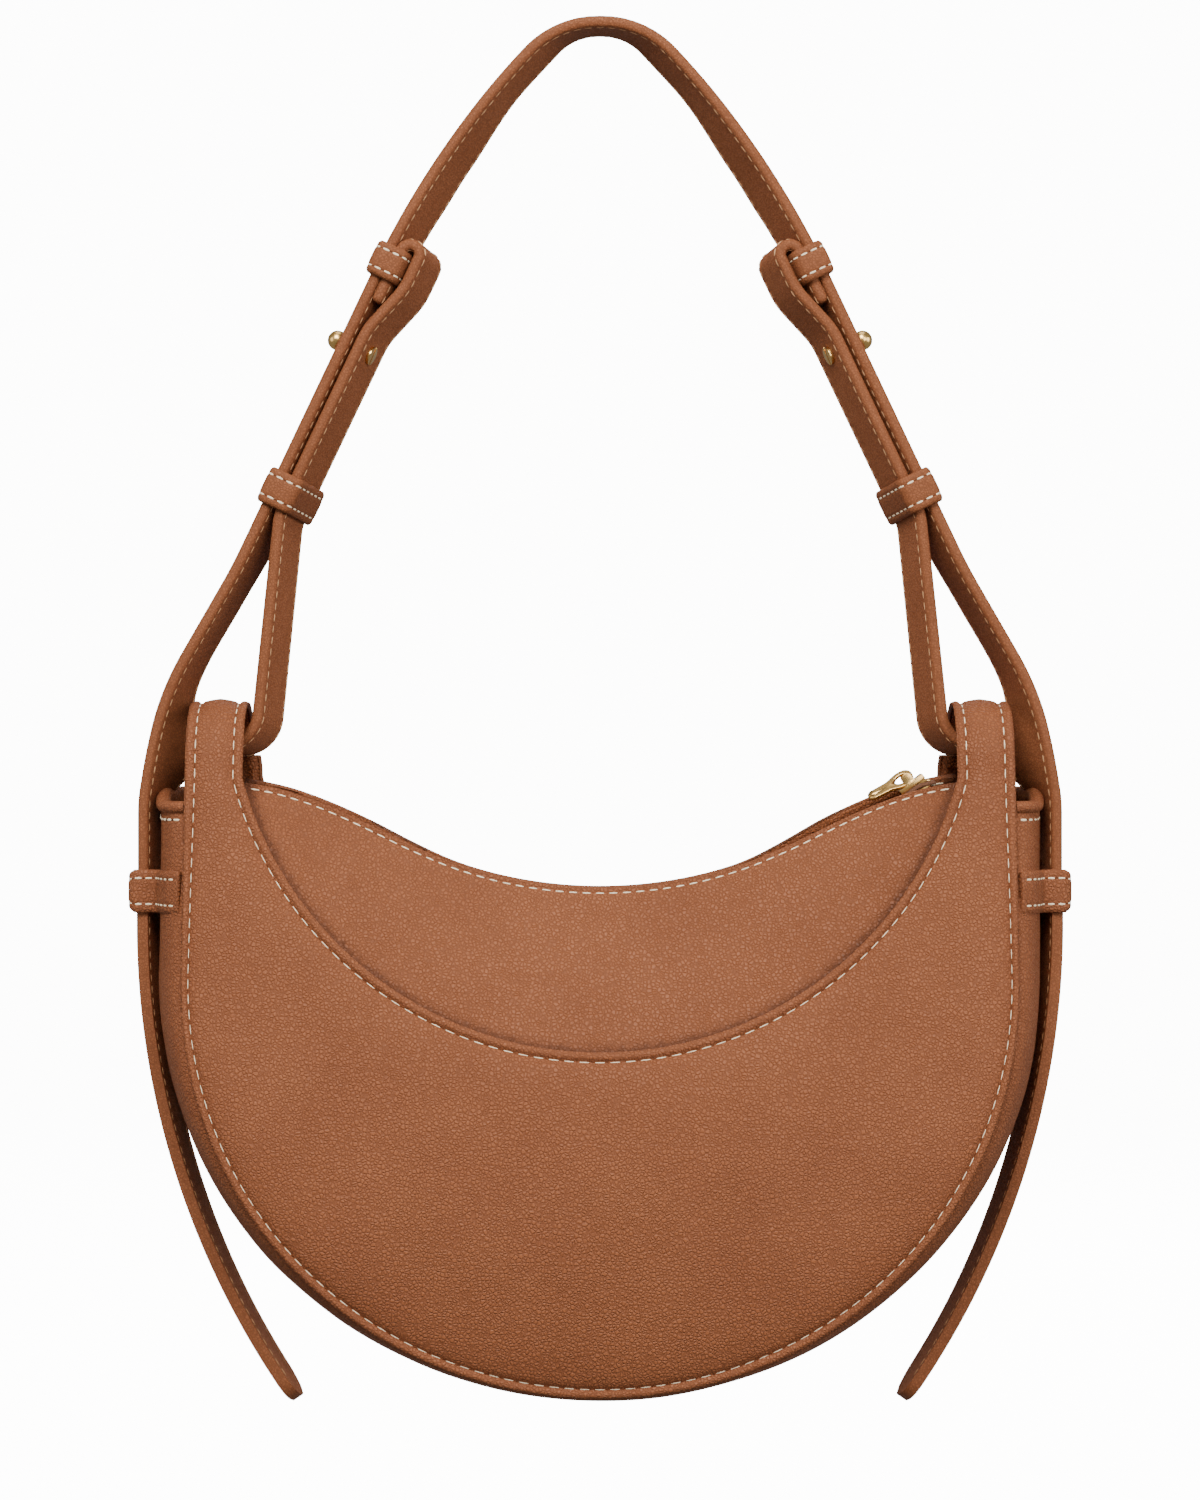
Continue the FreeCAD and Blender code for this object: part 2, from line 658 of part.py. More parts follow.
def make_lining():
    """A pouch that hangs inside the panels and is open below the zip."""
    wall = size("lining_thickness")
    solids = []
    for name, inset in (("outer", 0), ("inner", wall)):
        round_radius = half_width - size("pad_inset") - size("gusset_bulge") / 2 - inset
        rim = zip_radius + 2 * leather if inset == 0 else zip_radius - 2 * leather
        turn = math.asin(0.97 * round_radius / (zip_radius + 2 * leather) * 0.8)
        top_x, top_z = rim * math.sin(turn), zip_centre - rim * math.cos(turn)
        outline = doc.addObject("Sketcher::SketchObject", f"lining_{name}_outline")
        outline.Placement = Placement(Vector(), Rotation(Vector(1, 0, 0), 90))
        low = zip_low - 4 * leather
        draw(outline, [
            (-round_radius, round_centre, round_radius),
            (0, round_centre - round_radius, round_radius),
            (round_radius, round_centre, 0),
            (top_x - inset, top_z, -rim),
            (0, zip_centre - rim, -rim),
            (-top_x + inset, top_z, 0),
        ])
        plate = doc.addObject("Part::Extrusion", f"lining_{name}_plate")
        plate.Base = outline
        plate.DirMode = "Normal"
        plate.Solid = True
        plate.Symmetric = True
        plate.setExpression("LengthFwd", "sizes.bag_depth * 2")
        profile = doc.addObject("Sketcher::SketchObject", f"lining_{name}_profile")
        profile.Placement = Placement(Vector(), Rotation(Vector(1, 1, 1), 120))
        deep = half_depth - inside - size("pad_thickness") - 2 * gap - inset
        slim = size("mouth_half_gap") - leather * 1.5 - inset
        wide_level = scoop_low - 2 * size("yoke_lap")
        draw(profile, [
            (-deep, bottom - far, 0), (deep, bottom - far, 0), (deep, wide_level, 0), (slim, low, 0),
            (slim, top, 0), (-slim, top, 0), (-slim, low, 0), (-deep, wide_level, 0),
        ])
        bar = doc.addObject("Part::Extrusion", f"lining_{name}_bar")
        bar.Base = profile
        bar.DirMode = "Normal"
        bar.Solid = True
        bar.Symmetric = True
        bar.setExpression("LengthFwd", "sizes.panel_width * 2")
        common = doc.addObject("Part::Common", f"lining_{name}")
        common.Base = plate
        common.Tool = bar
        solids.append(common)
    pouch = doc.addObject("Part::Cut", "lining")
    pouch.Label = "lining"
    pouch.Base = solids[0]
    pouch.Tool = solids[1]
    finished["lining"] = pouch


def make_horn_filler(name, side):
    """Padded block in the fold with the bore that the strap's rolled end turns in."""
    body = new_body(f"{name}_horn_filler")
    near = horn_inner + 2.3 * leather
    far_end = half_width - leather
    radius = fold_radius - inside
    sketch = new_sketch(body, "block", "YZ_Plane", along(side * near if side > 0 else -far_end))
    draw(sketch, [
        (-radius, fold_centre - leather * 2, 0), (radius, fold_centre - leather * 2, 0),
        (radius, fold_centre, radius), (0, fold_centre + radius, radius), (-radius, fold_centre, 0),
    ])
    circle(sketch, 0, hinge_level, "sizes.rolled_radius + sizes.rolled_play")
    block = pad(body, sketch, "sizes.horn_width - 3.3 * sizes.leather", symmetric=False)
    return block


# Straps: each is a ruled loft between the outlines of its front and back edges.
half_strap = size("strap_width / 2")
thick = size("strap_thickness")
toe = size("toe_in")
swing_radius = half_strap + size("strap_gap")
side_x = gusset_out + size("strap_standoff") + thick / 2


def heading(lean):
    """Unit vector down and to the left, leaning from the vertical."""
    angle = math.radians(lean)
    return Vector(-math.sin(angle), -math.cos(angle), 0)


def inward(direction):
    """Unit vector across a left leg, towards the middle of the bag."""
    return Vector(-direction.y, direction.x, 0)


def crossing(point, direction, other, other_direction):
    """Where two lines meet."""
    span = other - point
    scale = direction.x * other_direction.y - direction.y * other_direction.x
    distance = (span.x * other_direction.y - span.y * other_direction.x) / scale
    return point + direction * distance


def lean_to(point, target):
    """Lean in degrees of the line that goes down and left from a point to a target."""
    return math.degrees(math.atan2(point.x - target.x, point.y - target.y))


# The long strap's corners on its front edge: apex, shoulder, kink and knee.
apex_level = thick / 2
apex_tangent = size("apex_half_width - apex_flat")
shoulder_tangent = size("shoulder_reach - apex_flat") - apex_tangent
apex_corner = Vector(-size("apex_half_width"), apex_level, 0)
knee_corner = Vector(-side_x, hinge_level + thick * 1.6, 0)
top_lean = lean_to(apex_corner, knee_corner) + size("apex_ease")
top_way = heading(top_lean)
shoulder_corner = apex_corner + top_way * size("shoulder_reach")
run_lean = lean_to(shoulder_corner, knee_corner)
leg_lean = run_lean - size("leg_ease")
leg_way = heading(leg_lean)
foot_lean = run_lean + size("foot_ease")
foot_way = heading(foot_lean)
kink_corner = crossing(shoulder_corner, leg_way, knee_corner, foot_way)
apex_half_turn = math.radians(90 - top_lean) / 2
shoulder_radius = shoulder_tangent / math.tan(math.radians(top_lean - leg_lean) / 2)
KNEE_SHARE = 0.47
knee_tangent = KNEE_SHARE * (kink_corner - knee_corner).Length
knee_radius = knee_tangent / math.tan(math.radians(foot_lean) / 2)


def strap_corners(shift):
    """Corners of the left half of the shoulder strap for an edge shifted in by some amount."""
    top_point = apex_corner + inward(top_way) * shift
    leg_point = shoulder_corner + inward(leg_way) * shift
    level_way = Vector(1, 0, 0)
    knee_point = knee_corner - Vector(0, 1.6 * shift, 0)
    corner_one = crossing(top_point, top_way, Vector(0, apex_level, 0), level_way)
    corner_two = crossing(top_point, top_way, leg_point, leg_way)
    corner_three = crossing(leg_point, leg_way, knee_point, foot_way)
    apex_radius = apex_tangent / math.tan(apex_half_turn)
    apex_bend = min(apex_radius, 0.94 * abs(corner_one.x) / math.tan(apex_half_turn))
    return [
        (corner_one, apex_bend),
        (corner_two, shoulder_radius - shift),
        (corner_three, size("kink_radius") + shift),
        (knee_point, knee_radius - shift),
    ]


def leg_frame():
    """Top of the straight run between the keepers, on the front edge's middle line."""
    return shoulder_corner + leg_way * shoulder_tangent


def on_leg(place, across, shift=0):
    """Point at a distance down the left leg and a distance in from the strap's middle."""
    return leg_frame() + leg_way * place + inward(leg_way) * (across + shift)


# Places down the leg from the top of its straight run.
straight_run = (kink_corner - leg_frame()).Length
KEEPER_SHARE = 0.722
doubled_start = 5.5 * thick
stud_place = doubled_start + 2 * thick
lower_keeper_place = KEEPER_SHARE * straight_run
parting_place = lower_keeper_place + size("lower_keeper_height / 2 + 3 * keeper_play")


def rounded(corners):
    """Corner points with bend radii turned into points, directions and signed bends."""
    nodes = [(corners[0][0], (corners[1][0] - corners[0][0]).normalize(), 0)]
    for before, (corner, radius), after in zip(corners, corners[1:], corners[2:]):
        coming = (corner - before[0]).normalize()
        going = (after[0] - corner).normalize()
        turn = math.atan2(coming.x * going.y - coming.y * going.x, coming.dot(going))
        cut = radius * math.tan(abs(turn) / 2)
        nodes.append((corner - coming * cut, coming, math.copysign(radius, turn)))
        nodes.append((corner + going * cut, going, 0))
    nodes.append((corners[-1][0], (corners[-1][0] - corners[-2][0]).normalize(), 0))
    return nodes


def band(corners, side=-1):
    """Closed outline of a strap edge: the path offset half the thickness to either side."""
    nodes = rounded(corners)
    left, right = [], []
    for point, direction, bend in nodes:
        normal = Vector(-direction.y, direction.x, 0) * (thick / 2)
        inner = bend - thick / 2 if bend else 0
        outer = bend + thick / 2 if bend else 0
        left.append((point + normal, inner))
        right.append((point - normal, outer))
    outline = [(point.x, point.y, bend) for point, bend in left]
    back_bends = [bend for _, bend in right[:-1]]
    for (point, _), bend in zip(reversed(right), reversed([0] + back_bends)):
        outline.append((point.x, point.y, -bend))
    if side > 0:
        outline = [(-x, z, -bend) for x, z, bend in outline]
    return outline


def strap_loft(body, edges):
    """Ruled solid between the front edge's outline and the back edge's outline."""
    sketches = []
    for name, offset, outline in zip(("front", "back"), (half_strap, -half_strap), edges):
        sketch = new_sketch(body, f"{name}_edge", "XZ_Plane", along(offset))
        draw(sketch, outline)
        sketches.append(sketch)
    loft(body, sketches, ruled=True)


def stud_frame(side):
    """Placement at the stud: Z runs in through both straps, square to their faces."""
    spot = on_leg(stud_place, 0, toe / 2)
    across = inward(leg_way)
    axis = Vector(across.x, -toe / (2 * half_strap), across.y).normalize()
    axis.x *= -side
    spread = Vector(0, 1, 0)
    return Placement(Vector(-side * spot.x, 0, spot.y), Rotation(Vector(), spread, axis, "ZYX"))


def stud_hole(body, name, side):
    sketch = new_sketch(body, f"{name}_stud_hole", "XY_Plane", stud_frame(side))
    circle(sketch, 0, 0, "sizes.post_radius + sizes.hole_play")
    pocket(body, sketch, "sizes.strap_thickness * 8")


def make_shoulder_strap():
    """Both legs and the apex, with rounded ends beside the horns and the two stud holes."""
    body = new_body("shoulder_strap")
    edges = []
    for shift in (0, toe):
        end = (Vector(-side_x, hinge_level - knee_radius / 2, 0), 0)
        left = [end] + list(reversed(strap_corners(shift)))
        right = [(Vector(-point.x, point.y, 0), bend) for point, bend in reversed(left)]
        edges.append(band(left + right))
    strap_loft(body, edges)
    trim = new_sketch(body, "swing_end", "YZ_Plane")
    wide = 2 * half_strap
    draw(trim, [
        (-wide, hinge_level, 0), (-swing_radius, hinge_level, swing_radius),
        (0, hinge_level - swing_radius, swing_radius), (swing_radius, hinge_level, 0),
        (wide, hinge_level, 0), (wide, hinge_level - far, 0), (-wide, hinge_level - far, 0),
    ])
    pocket(body, trim)
    for name, side in SIDES:
        stud_hole(body, name, side)


loop_middle = top - size("loop_drop")
loop_foot = loop_middle - size("loop_height / 2")


def make_strap_drop(name, side):
    """Strap from beside the horn down through the side loop."""
    body = new_body(f"{name}_strap_drop")
    edges = []
    for shift in (0, toe):
        half = strap_corners(shift)
        end = (Vector(-side_x, loop_foot + thick / 8, 0), 0)
        edges.append(band([(half[2][0], 0), half[3], end], side))
    strap_loft(body, edges)
    trim = new_sketch(body, "top", "YZ_Plane")
    high = hinge_level - swing_radius - size("swing_clearance")
    draw(trim, box_outline(-far, high, far, high + far))
    pocket(body, trim)


tail_pivot = loop_foot - thick / 2 - size("tail_gap")


def make_tail(name, side):
    """Free tail below the side loop, round at its pivot and at its tip."""
    body = new_body(f"{name}_strap_tail")
    radius = size("tail_radius")
    turn = math.radians(size("tail_turn"))
    start = Vector(-side_x, tail_pivot, 0)
    corner = start - Vector(0, radius * math.tan(turn / 2) + thick / 2, 0)
    end = corner + Vector(math.sin(turn), -math.cos(turn), 0) * (radius * math.tan(turn / 2) + thick)
    outline = band([(start, 0), (corner, radius), (end, 0)], side)
    sketch = new_sketch(body, "edge", "XZ_Plane")
    draw(sketch, outline)
    pad(body, sketch, "sizes.strap_width")
    pivot = new_sketch(body, "pivot", "XZ_Plane")
    circle(pivot, -(-side) * side_x, tail_pivot, "sizes.strap_thickness / 2")
    pad(body, pivot, "sizes.strap_width")
    tip = new_sketch(body, "tip", "YZ_Plane")
    low = end.y - thick
    draw(tip, [
        (-2 * half_strap, low + half_strap, 0), (-half_strap, low + half_strap, half_strap),
        (0, low, half_strap), (half_strap, low + half_strap, 0), (2 * half_strap, low + half_strap, 0),
        (2 * half_strap, low - far, 0), (-2 * half_strap, low - far, 0),
    ])
    pocket(body, tip)
    holes = new_sketch(body, "holes", "YZ_Plane")
    for step in (1, 2, 3):
        circle(holes, 0, low + half_strap * (1 + step), "sizes.tail_hole")
    pocket(body, holes)


def lower_strap_corners(shift):
    """Path of the lower strap: short end, turn over the upper keeper, doubled run, tunnel."""
    beside = thick + size("strap_gap")
    turn = size("loop_turn")
    above = -size("upper_keeper_rise") - size("upper_keeper_height / 2") - turn
    doubled = thick + size("doubled_gap")
    tunnel = Vector(-(horn_inner - leather), hinge_level, 0)
    return [
        (on_leg(size("short_end"), beside, shift), 0),
        (on_leg(above, beside, shift), turn * 0.99),
        (on_leg(above, beside + 2 * turn, shift), turn * 0.99),
        (on_leg(thick / 2, beside + 2 * turn, shift), 7 * thick),
        (on_leg(doubled_start, doubled, shift), 7 * thick),
        (on_leg(parting_place, doubled, shift), 5 * thick),
        (tunnel, 3.5 * thick),
        (tunnel - Vector(4.5 * thick, 0, 0), 0),
    ]


def make_lower_strap(name, side):
    body = new_body(f"{name}_lower_strap")
    edges = [band(lower_strap_corners(shift), side) for shift in (0, toe)]
    strap_loft(body, edges)
    inner_end = horn_inner + 1.6 * leather
    trim = new_sketch(body, "tunnel_end", "XZ_Plane")
    near, away = sorted((side * inner_end, side * far))
    draw(trim, box_outline(near, hinge_level - far, away, hinge_level + half_strap))
    pocket(body, trim)
    start = horn_inner + 0.5 * leather
    stop = half_width - leather
    place = start if side > 0 else -stop
    roll = new_sketch(body, "rolled_end", "YZ_Plane", along(place))
    circle(roll, 0, hinge_level, "sizes.rolled_radius")
    pad(body, roll, "sizes.horn_width - 1.5 * sizes.leather", symmetric=False)
    stud_hole(body, name, side)


def leg_placement(place, side):
    """Frame on a leg: X across it (inwards on the left, outwards on the right), Z up along it."""
    spot = on_leg(place, 0)
    turn = Rotation(Vector(0, 1, 0), -side * leg_lean)
    return Placement(Vector(-side * spot.x, 0, spot.y), turn)


def make_keeper(label, side, place, inner_face, height):
    """Loop round the straps, slanted as they are."""
    body = new_body(label)
    sketch = new_sketch(body, "loop", "XY_Plane")
    play = size("keeper_play")
    wall = size("keeper_wall")
    for grow in (play + wall, play):
        deep = half_strap + grow
        corners = []
        for y, across in ((-deep, -thick / 2 - grow), (-deep, inner_face + grow),
                          (deep, inner_face + grow), (deep, -thick / 2 - grow)):
            slant = toe * (y + half_strap) / (2 * half_strap)
            corners.append((-side * (across + slant), y, 0))
        draw(sketch, corners)
    pad(body, sketch, height)
    body.Placement = leg_placement(place, side)


def make_stud(name, side):
    ball = size("ball_radius")
    post = size("post_radius")
    face = thick / 2
    centre = -face - gap - ball
    inner_face = face + thick + size("doubled_gap")
    body = new_body(f"{name}_stud_ball")
    sketch = new_sketch(body, "profile", "XZ_Plane")
    neck = centre + math.sqrt(ball ** 2 - post ** 2)
    bore = post * 0.6
    draw(sketch, [
        (0, centre - ball, ball), (ball, centre, ball), (post, neck, 0), (post, inner_face, 0),
        (bore, inner_face, 0), (bore, face, 0), (0, face, 0),
    ])
    turned = body.newObject("PartDesign::Revolution", f"{name}_ball_turned")
    turned.Profile = sketch
    turned.ReferenceAxis = (sketch, ["V_Axis"])
    turned.Angle = 360
    body.Placement = stud_frame(side)

    screw = new_body(f"{name}_stud_screw")
    sketch = new_sketch(screw, "profile", "XZ_Plane")
    shank = bore - size("rolled_play")
    start = inner_face + gap
    head = start + size("screw_height")
    draw(sketch, [
        (0, face + gap, 0), (shank, face + gap, 0), (shank, start, 0), ("sizes.screw_radius", start, 0),
        ("sizes.screw_radius", head, 0), (0, head, 0),
    ])
    turned = screw.newObject("PartDesign::Revolution", f"{name}_screw_turned")
    turned.Profile = sketch
    turned.ReferenceAxis = (sketch, ["V_Axis"])
    turned.Angle = 360
    slot = new_sketch(screw, "slot", "XZ_Plane")
    draw(slot, box_outline(-bore / 2, head - size("screw_height / 2"), bore / 2, head + face))
    pocket(screw, slot, "sizes.screw_radius * 3")
    screw.Placement = stud_frame(side)


def make_side_loop(name, side):
    """Band that holds the strap to the gusset."""
    body = new_body(f"{name}_side_loop")
    sketch = new_sketch(body, "band", "XY_Plane")
    play = size("loop_play")
    wall = size("loop_wall")
    hole_half = half_strap + play / 2
    out_half = hole_half + wall
    foot = swell_centre + math.sqrt(swell_radius ** 2 - hole_half ** 2) + gap / 2
    hole = side_x + thick / 2 + play
    outer = hole + wall
    corner = wall * 1.5
    draw(sketch, [
        (foot, -out_half, 0), (outer - corner, -out_half, corner), (outer, -out_half + corner, 0),
        (outer, out_half - corner, corner), (outer - corner, out_half, 0), (foot, out_half, 0),
        (foot, hole_half, 0), (hole, hole_half, 0), (hole, -hole_half, 0), (foot, -hole_half, 0),
    ])
    pad(body, sketch, "sizes.loop_height")
    flip = Rotation(Vector(0, 0, 1), 0 if side > 0 else 180)
    body.Placement = Placement(Vector(0, 0, loop_middle), flip)


make_crescents()
make_gusset()
front_yoke = make_yoke("front_yoke", -1)
back_yoke = make_yoke("back_yoke", 1)
make_padding("front_padding", -1)
make_padding("back_padding", 1)
make_lining()
make_tape("front", -1, front_yoke)
make_tape("back", 1, back_yoke)
make_teeth("front", -1)
make_teeth("back", 1)
make_stops()
make_puller(make_slider())
make_shoulder_strap()
for side_name, side_sign in SIDES:
    make_lower_strap(side_name, side_sign)
    make_strap_drop(side_name, side_sign)
    make_tail(side_name, side_sign)
    make_horn_filler(side_name, side_sign)
    make_side_loop(side_name, side_sign)
    make_stud(side_name, side_sign)
    stacked = thick * 1.5 + size("strap_gap")
    make_keeper(f"{side_name}_upper_keeper", side_sign, -size("upper_keeper_rise"), stacked,
                "sizes.upper_keeper_height")
    doubled_face = thick * 1.5 + size("doubled_gap")
    make_keeper(f"{side_name}_lower_keeper", side_sign, lower_keeper_place, doubled_face,
                "sizes.lower_keeper_height")

doc.recompute()
for item in doc.Objects:
    if "Invalid" in item.State or "Error" in item.State:
        raise RuntimeError(f"{item.Label} did not build")
for label, item in finished.items():
    if item.Shape.isNull() or not item.Shape.isValid():
        raise RuntimeError(f"{label} has no sound shape")
    item.Shape.exportStep(f"parts/{label}.step")
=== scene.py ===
"""Half moon bag: leather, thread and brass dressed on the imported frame."""

import bisect
import json
import math

import bpy
from bpy.props import FloatProperty, FloatVectorProperty, IntProperty, PointerProperty
from mathutils import Matrix, Vector, noise


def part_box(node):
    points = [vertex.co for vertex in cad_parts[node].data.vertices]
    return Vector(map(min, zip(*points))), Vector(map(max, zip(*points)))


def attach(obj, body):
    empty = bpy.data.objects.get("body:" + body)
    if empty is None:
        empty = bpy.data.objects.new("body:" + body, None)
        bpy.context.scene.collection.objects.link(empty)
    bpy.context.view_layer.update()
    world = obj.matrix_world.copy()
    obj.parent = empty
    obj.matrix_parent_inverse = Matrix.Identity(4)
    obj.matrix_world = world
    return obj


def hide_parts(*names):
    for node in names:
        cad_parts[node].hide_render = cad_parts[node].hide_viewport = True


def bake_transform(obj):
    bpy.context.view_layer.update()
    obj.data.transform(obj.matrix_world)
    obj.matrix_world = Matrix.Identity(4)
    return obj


bl_info = {
    "name": "Half moon bag",
    "version": (1, 0, 0),
    "blender": (4, 5, 0),
    "location": "3D View > Sidebar > Bag",
    "description": "Dresses the packed frame of a half moon shoulder bag in leather, thread and brass",
    "category": "Object",
}

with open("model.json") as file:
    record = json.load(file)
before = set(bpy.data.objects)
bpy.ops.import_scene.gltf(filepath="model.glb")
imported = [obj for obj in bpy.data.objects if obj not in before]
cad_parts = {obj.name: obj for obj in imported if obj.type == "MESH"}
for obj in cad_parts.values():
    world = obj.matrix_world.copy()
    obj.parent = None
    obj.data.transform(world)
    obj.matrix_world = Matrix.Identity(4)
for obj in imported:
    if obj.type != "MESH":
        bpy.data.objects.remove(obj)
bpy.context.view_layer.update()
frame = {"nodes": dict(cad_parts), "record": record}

# Sizes in metres. Most are the solids' own, and some serve the looks alone.
MM = 0.001
HALF_WIDTH = 143 * MM
BOTTOM = -473 * MM
TOP = -234 * MM
HALF_DEPTH = 38 * MM
FRONT_BULGE = 6 * MM
WAIST = BOTTOM + 126 * MM
FOLD_RADIUS = 23 * MM
FOLD_CENTRE = TOP - FOLD_RADIUS
FOLD_SINK = 1.3 * MM
HORN_INNER = HALF_WIDTH - 20 * MM
SCOOP_RADIUS = HORN_INNER + 4.8 * MM
SCOOP_CENTRE = BOTTOM + 118.3 * MM + SCOOP_RADIUS
ROUND_CENTRE = BOTTOM + HALF_WIDTH
LEATHER = 2.2 * MM
SEAM_GAP = 0.3 * MM
INSIDE = LEATHER + SEAM_GAP
GUSSET_OUT = HALF_WIDTH + 9.6 * MM
GUSSET_TOP = TOP - 39.7 * MM
GUSSET_TUCK = 1 * MM
GUSSET_RISE = 2.2 * MM
GUSSET_PUFF = 1.2 * MM
COLLAR_RADIUS = 3.5 * MM
COLLAR_HALF_THICK = 2.7 * MM
YOKE_LAP = 6 * MM
MOUTH_HALF = HORN_INNER + LEATHER
MOUTH_HALF_GAP = 9 * MM
MOUTH_SHOULDER = TOP - 29 * MM
MOUTH_DIP = 0.295 * MOUTH_HALF
FACING_RISE = 2.8 * MM
MOUTH_PLACE_SHARES = (0, 0.14, 0.28, 0.41, 0.53, 0.63, 0.72, 0.8, 0.87, 0.94, 1)
MOUTH_RISE_SHARES = (0, 0.027, 0.109, 0.24, 0.41, 0.575, 0.717, 0.828, 0.908, 0.965, 1)
HALF_STRAP = 10 * MM
THICK = 3.6 * MM
SOFT_THICK = 4 * MM
TOE_IN = 4.8 * MM
LOW_TOE_IN = 3.2 * MM
MORE_TOE_IN = 1.7 * MM
HORN_FLARE = 2.6 * MM
# Width of the painted shade on the yoke along the crescent's inner edge.
SCOOP_SHADE_REACH = 3.8 * MM
SIDE_X = GUSSET_OUT + 4.9 * MM + THICK / 2
HINGE_LEVEL = TOP - 16.5 * MM
APEX_HALF_WIDTH = 15.8 * MM
APEX_FLAT = 1 * MM
SHOULDER_REACH = 61.9 * MM
KINK_RADIUS = 180 * MM
APEX_EASE = math.radians(12.8)
LEG_EASE = math.radians(1.3)
FOOT_EASE = math.radians(3.3)
KNEE_SHARE = 0.47
KEEPER_SHARE = 0.722
STRAP_GAP = 0.4 * MM
DOUBLED_GAP = 1.6 * MM
KEEPER_WALL = 2.2 * MM
KEEPER_PLAY = 0.35 * MM
UPPER_KEEPER_HEIGHT = 12 * MM
LOWER_KEEPER_HEIGHT = 13 * MM
UPPER_KEEPER_RISE = 4.3 * MM
LOOP_TURN = 3.4 * MM
SHORT_END = 10 * MM
BALL_RADIUS = 3.5 * MM
POST_RADIUS = 1.5 * MM
SCREW_RADIUS = 3.3 * MM
SCREW_HEIGHT = 1.4 * MM
LOOP_MIDDLE = TOP - 67 * MM
LOOP_HEIGHT = 15 * MM
LOOP_WALL = 2.2 * MM
LOOP_PLAY = 0.9 * MM
LOOP_FOOT = LOOP_MIDDLE - LOOP_HEIGHT / 2
TAIL_PIVOT = LOOP_FOOT - THICK / 2 - 0.4 * MM
TAIL_RADIUS = 285 * MM
TAIL_TURN = math.radians(35)
ZIP_RADIUS = 1.425 * MOUTH_HALF
ZIP_CENTRE = MOUTH_SHOULDER - MOUTH_DIP - 1.7 * LEATHER + ZIP_RADIUS
TAPE_THICKNESS = 1 * MM
SIDES = (("left", -1), ("right", 1))

# Camera and stage places.
PICTURE_HEIGHT = 510 * MM
CAMERA_DISTANCE = 1200 * MM
CAMERA_LEVEL = -252 * MM
SENSOR = 36
FLOOR_LEVEL = -640 * MM
FLOOR_REACH = 3.2
BACKDROP_RADIUS = 1.2
BACKDROP_HEIGHT = 5.0


class BagShape(bpy.types.PropertyGroup):
    """Soft forms of the leather."""

    puff: FloatProperty(name="Puff", description="How far padded panels swell past their seams",
                        default=2.2 * MM, unit="LENGTH")
    puff_reach: FloatProperty(name="Puff reach", description="Distance over which the swelling rises",
                              default=6 * MM, unit="LENGTH")
    seam_inset: FloatProperty(name="Seam inset", description="Edge of a panel to its row of stitches",
                              default=3.4 * MM, unit="LENGTH")
    groove: FloatProperty(name="Groove", description="Depth to which stitches pull the leather in",
                          default=0.7 * MM, unit="LENGTH")
    edge_round: FloatProperty(name="Edge round", description="Rounding of a turned panel edge",
                              default=1 * MM, unit="LENGTH")
    strap_round: FloatProperty(name="Strap round", description="Rounding of a strap's edges",
                               default=1.6 * MM, unit="LENGTH")
    unevenness: FloatProperty(name="Unevenness", description="Height of the leather's slow waves",
                              default=0.35 * MM, unit="LENGTH")


class BagThread(bpy.types.PropertyGroup):
    """Stitches."""

    pitch: FloatProperty(name="Pitch", description="Distance from one panel stitch to the next",
                         default=5.2 * MM, unit="LENGTH")
    keeper_pitch: FloatProperty(name="Keeper pitch", description="Pitch on keepers, loops and straps",
                                default=4 * MM, unit="LENGTH")
    cover: FloatProperty(name="Cover", description="Share of the pitch that the thread covers",
                         default=0.74, subtype="FACTOR")
    width: FloatProperty(name="Width", description="Thickness of the thread",
                         default=1.05 * MM, unit="LENGTH")
    facets: IntProperty(name="Facets", description="Sides of one stitch", default=8)


class BagColours(bpy.types.PropertyGroup):
    """Base colours of the finishes."""

    tan: FloatVectorProperty(name="Tan", description="Panel and strap leather", subtype="COLOR",
                             default=(0.302, 0.099, 0.0372))
    tan_deep: FloatVectorProperty(name="Deep tan", description="Darker clouds in the leather",
                                  subtype="COLOR", default=(0.232, 0.072, 0.0255))
    thread: FloatVectorProperty(name="Thread", description="Panel stitches", subtype="COLOR",
                                default=(1.0, 0.82, 0.57))
    strap_thread: FloatVectorProperty(name="Strap thread", description="Stitches on the straps",
                                      subtype="COLOR", default=(0.66, 0.36, 0.18))
    brass: FloatVectorProperty(name="Brass", description="Zip, studs and screws", subtype="COLOR",
                               default=(0.78, 0.50, 0.18))
    tape: FloatVectorProperty(name="Tape", description="Zip tape", subtype="COLOR",
                              default=(0.20, 0.085, 0.045))
    cloth: FloatVectorProperty(name="Cloth", description="Lining", subtype="COLOR",
                               default=(0.25, 0.15, 0.09))
    suede: FloatVectorProperty(name="Suede", description="Padding and raw inner leather",
                               subtype="COLOR", default=(0.17, 0.07, 0.035))
    studio: FloatVectorProperty(name="Studio", description="Floor and wall of the room", subtype="COLOR",
                                default=(0.90, 0.90, 0.89))


# The side profile of the bag.
BELLY_HALF = (WAIST - BOTTOM) / 2
BELLY_RADIUS = (BELLY_HALF ** 2 + FRONT_BULGE ** 2) / (2 * FRONT_BULGE)
LEAN_REACH = math.hypot(HALF_DEPTH, FOLD_CENTRE - WAIST)
LEAN_IN = math.atan2(HALF_DEPTH, FOLD_CENTRE - WAIST) - math.asin(FOLD_RADIUS / LEAN_REACH)
TOUCH_LEVEL = FOLD_CENTRE + FOLD_RADIUS * math.sin(LEAN_IN)
FRONT_END = TOUCH_LEVEL + FOLD_RADIUS * (math.pi - 2 * LEAN_IN)
BACK_END = TOUCH_LEVEL - SEAM_GAP


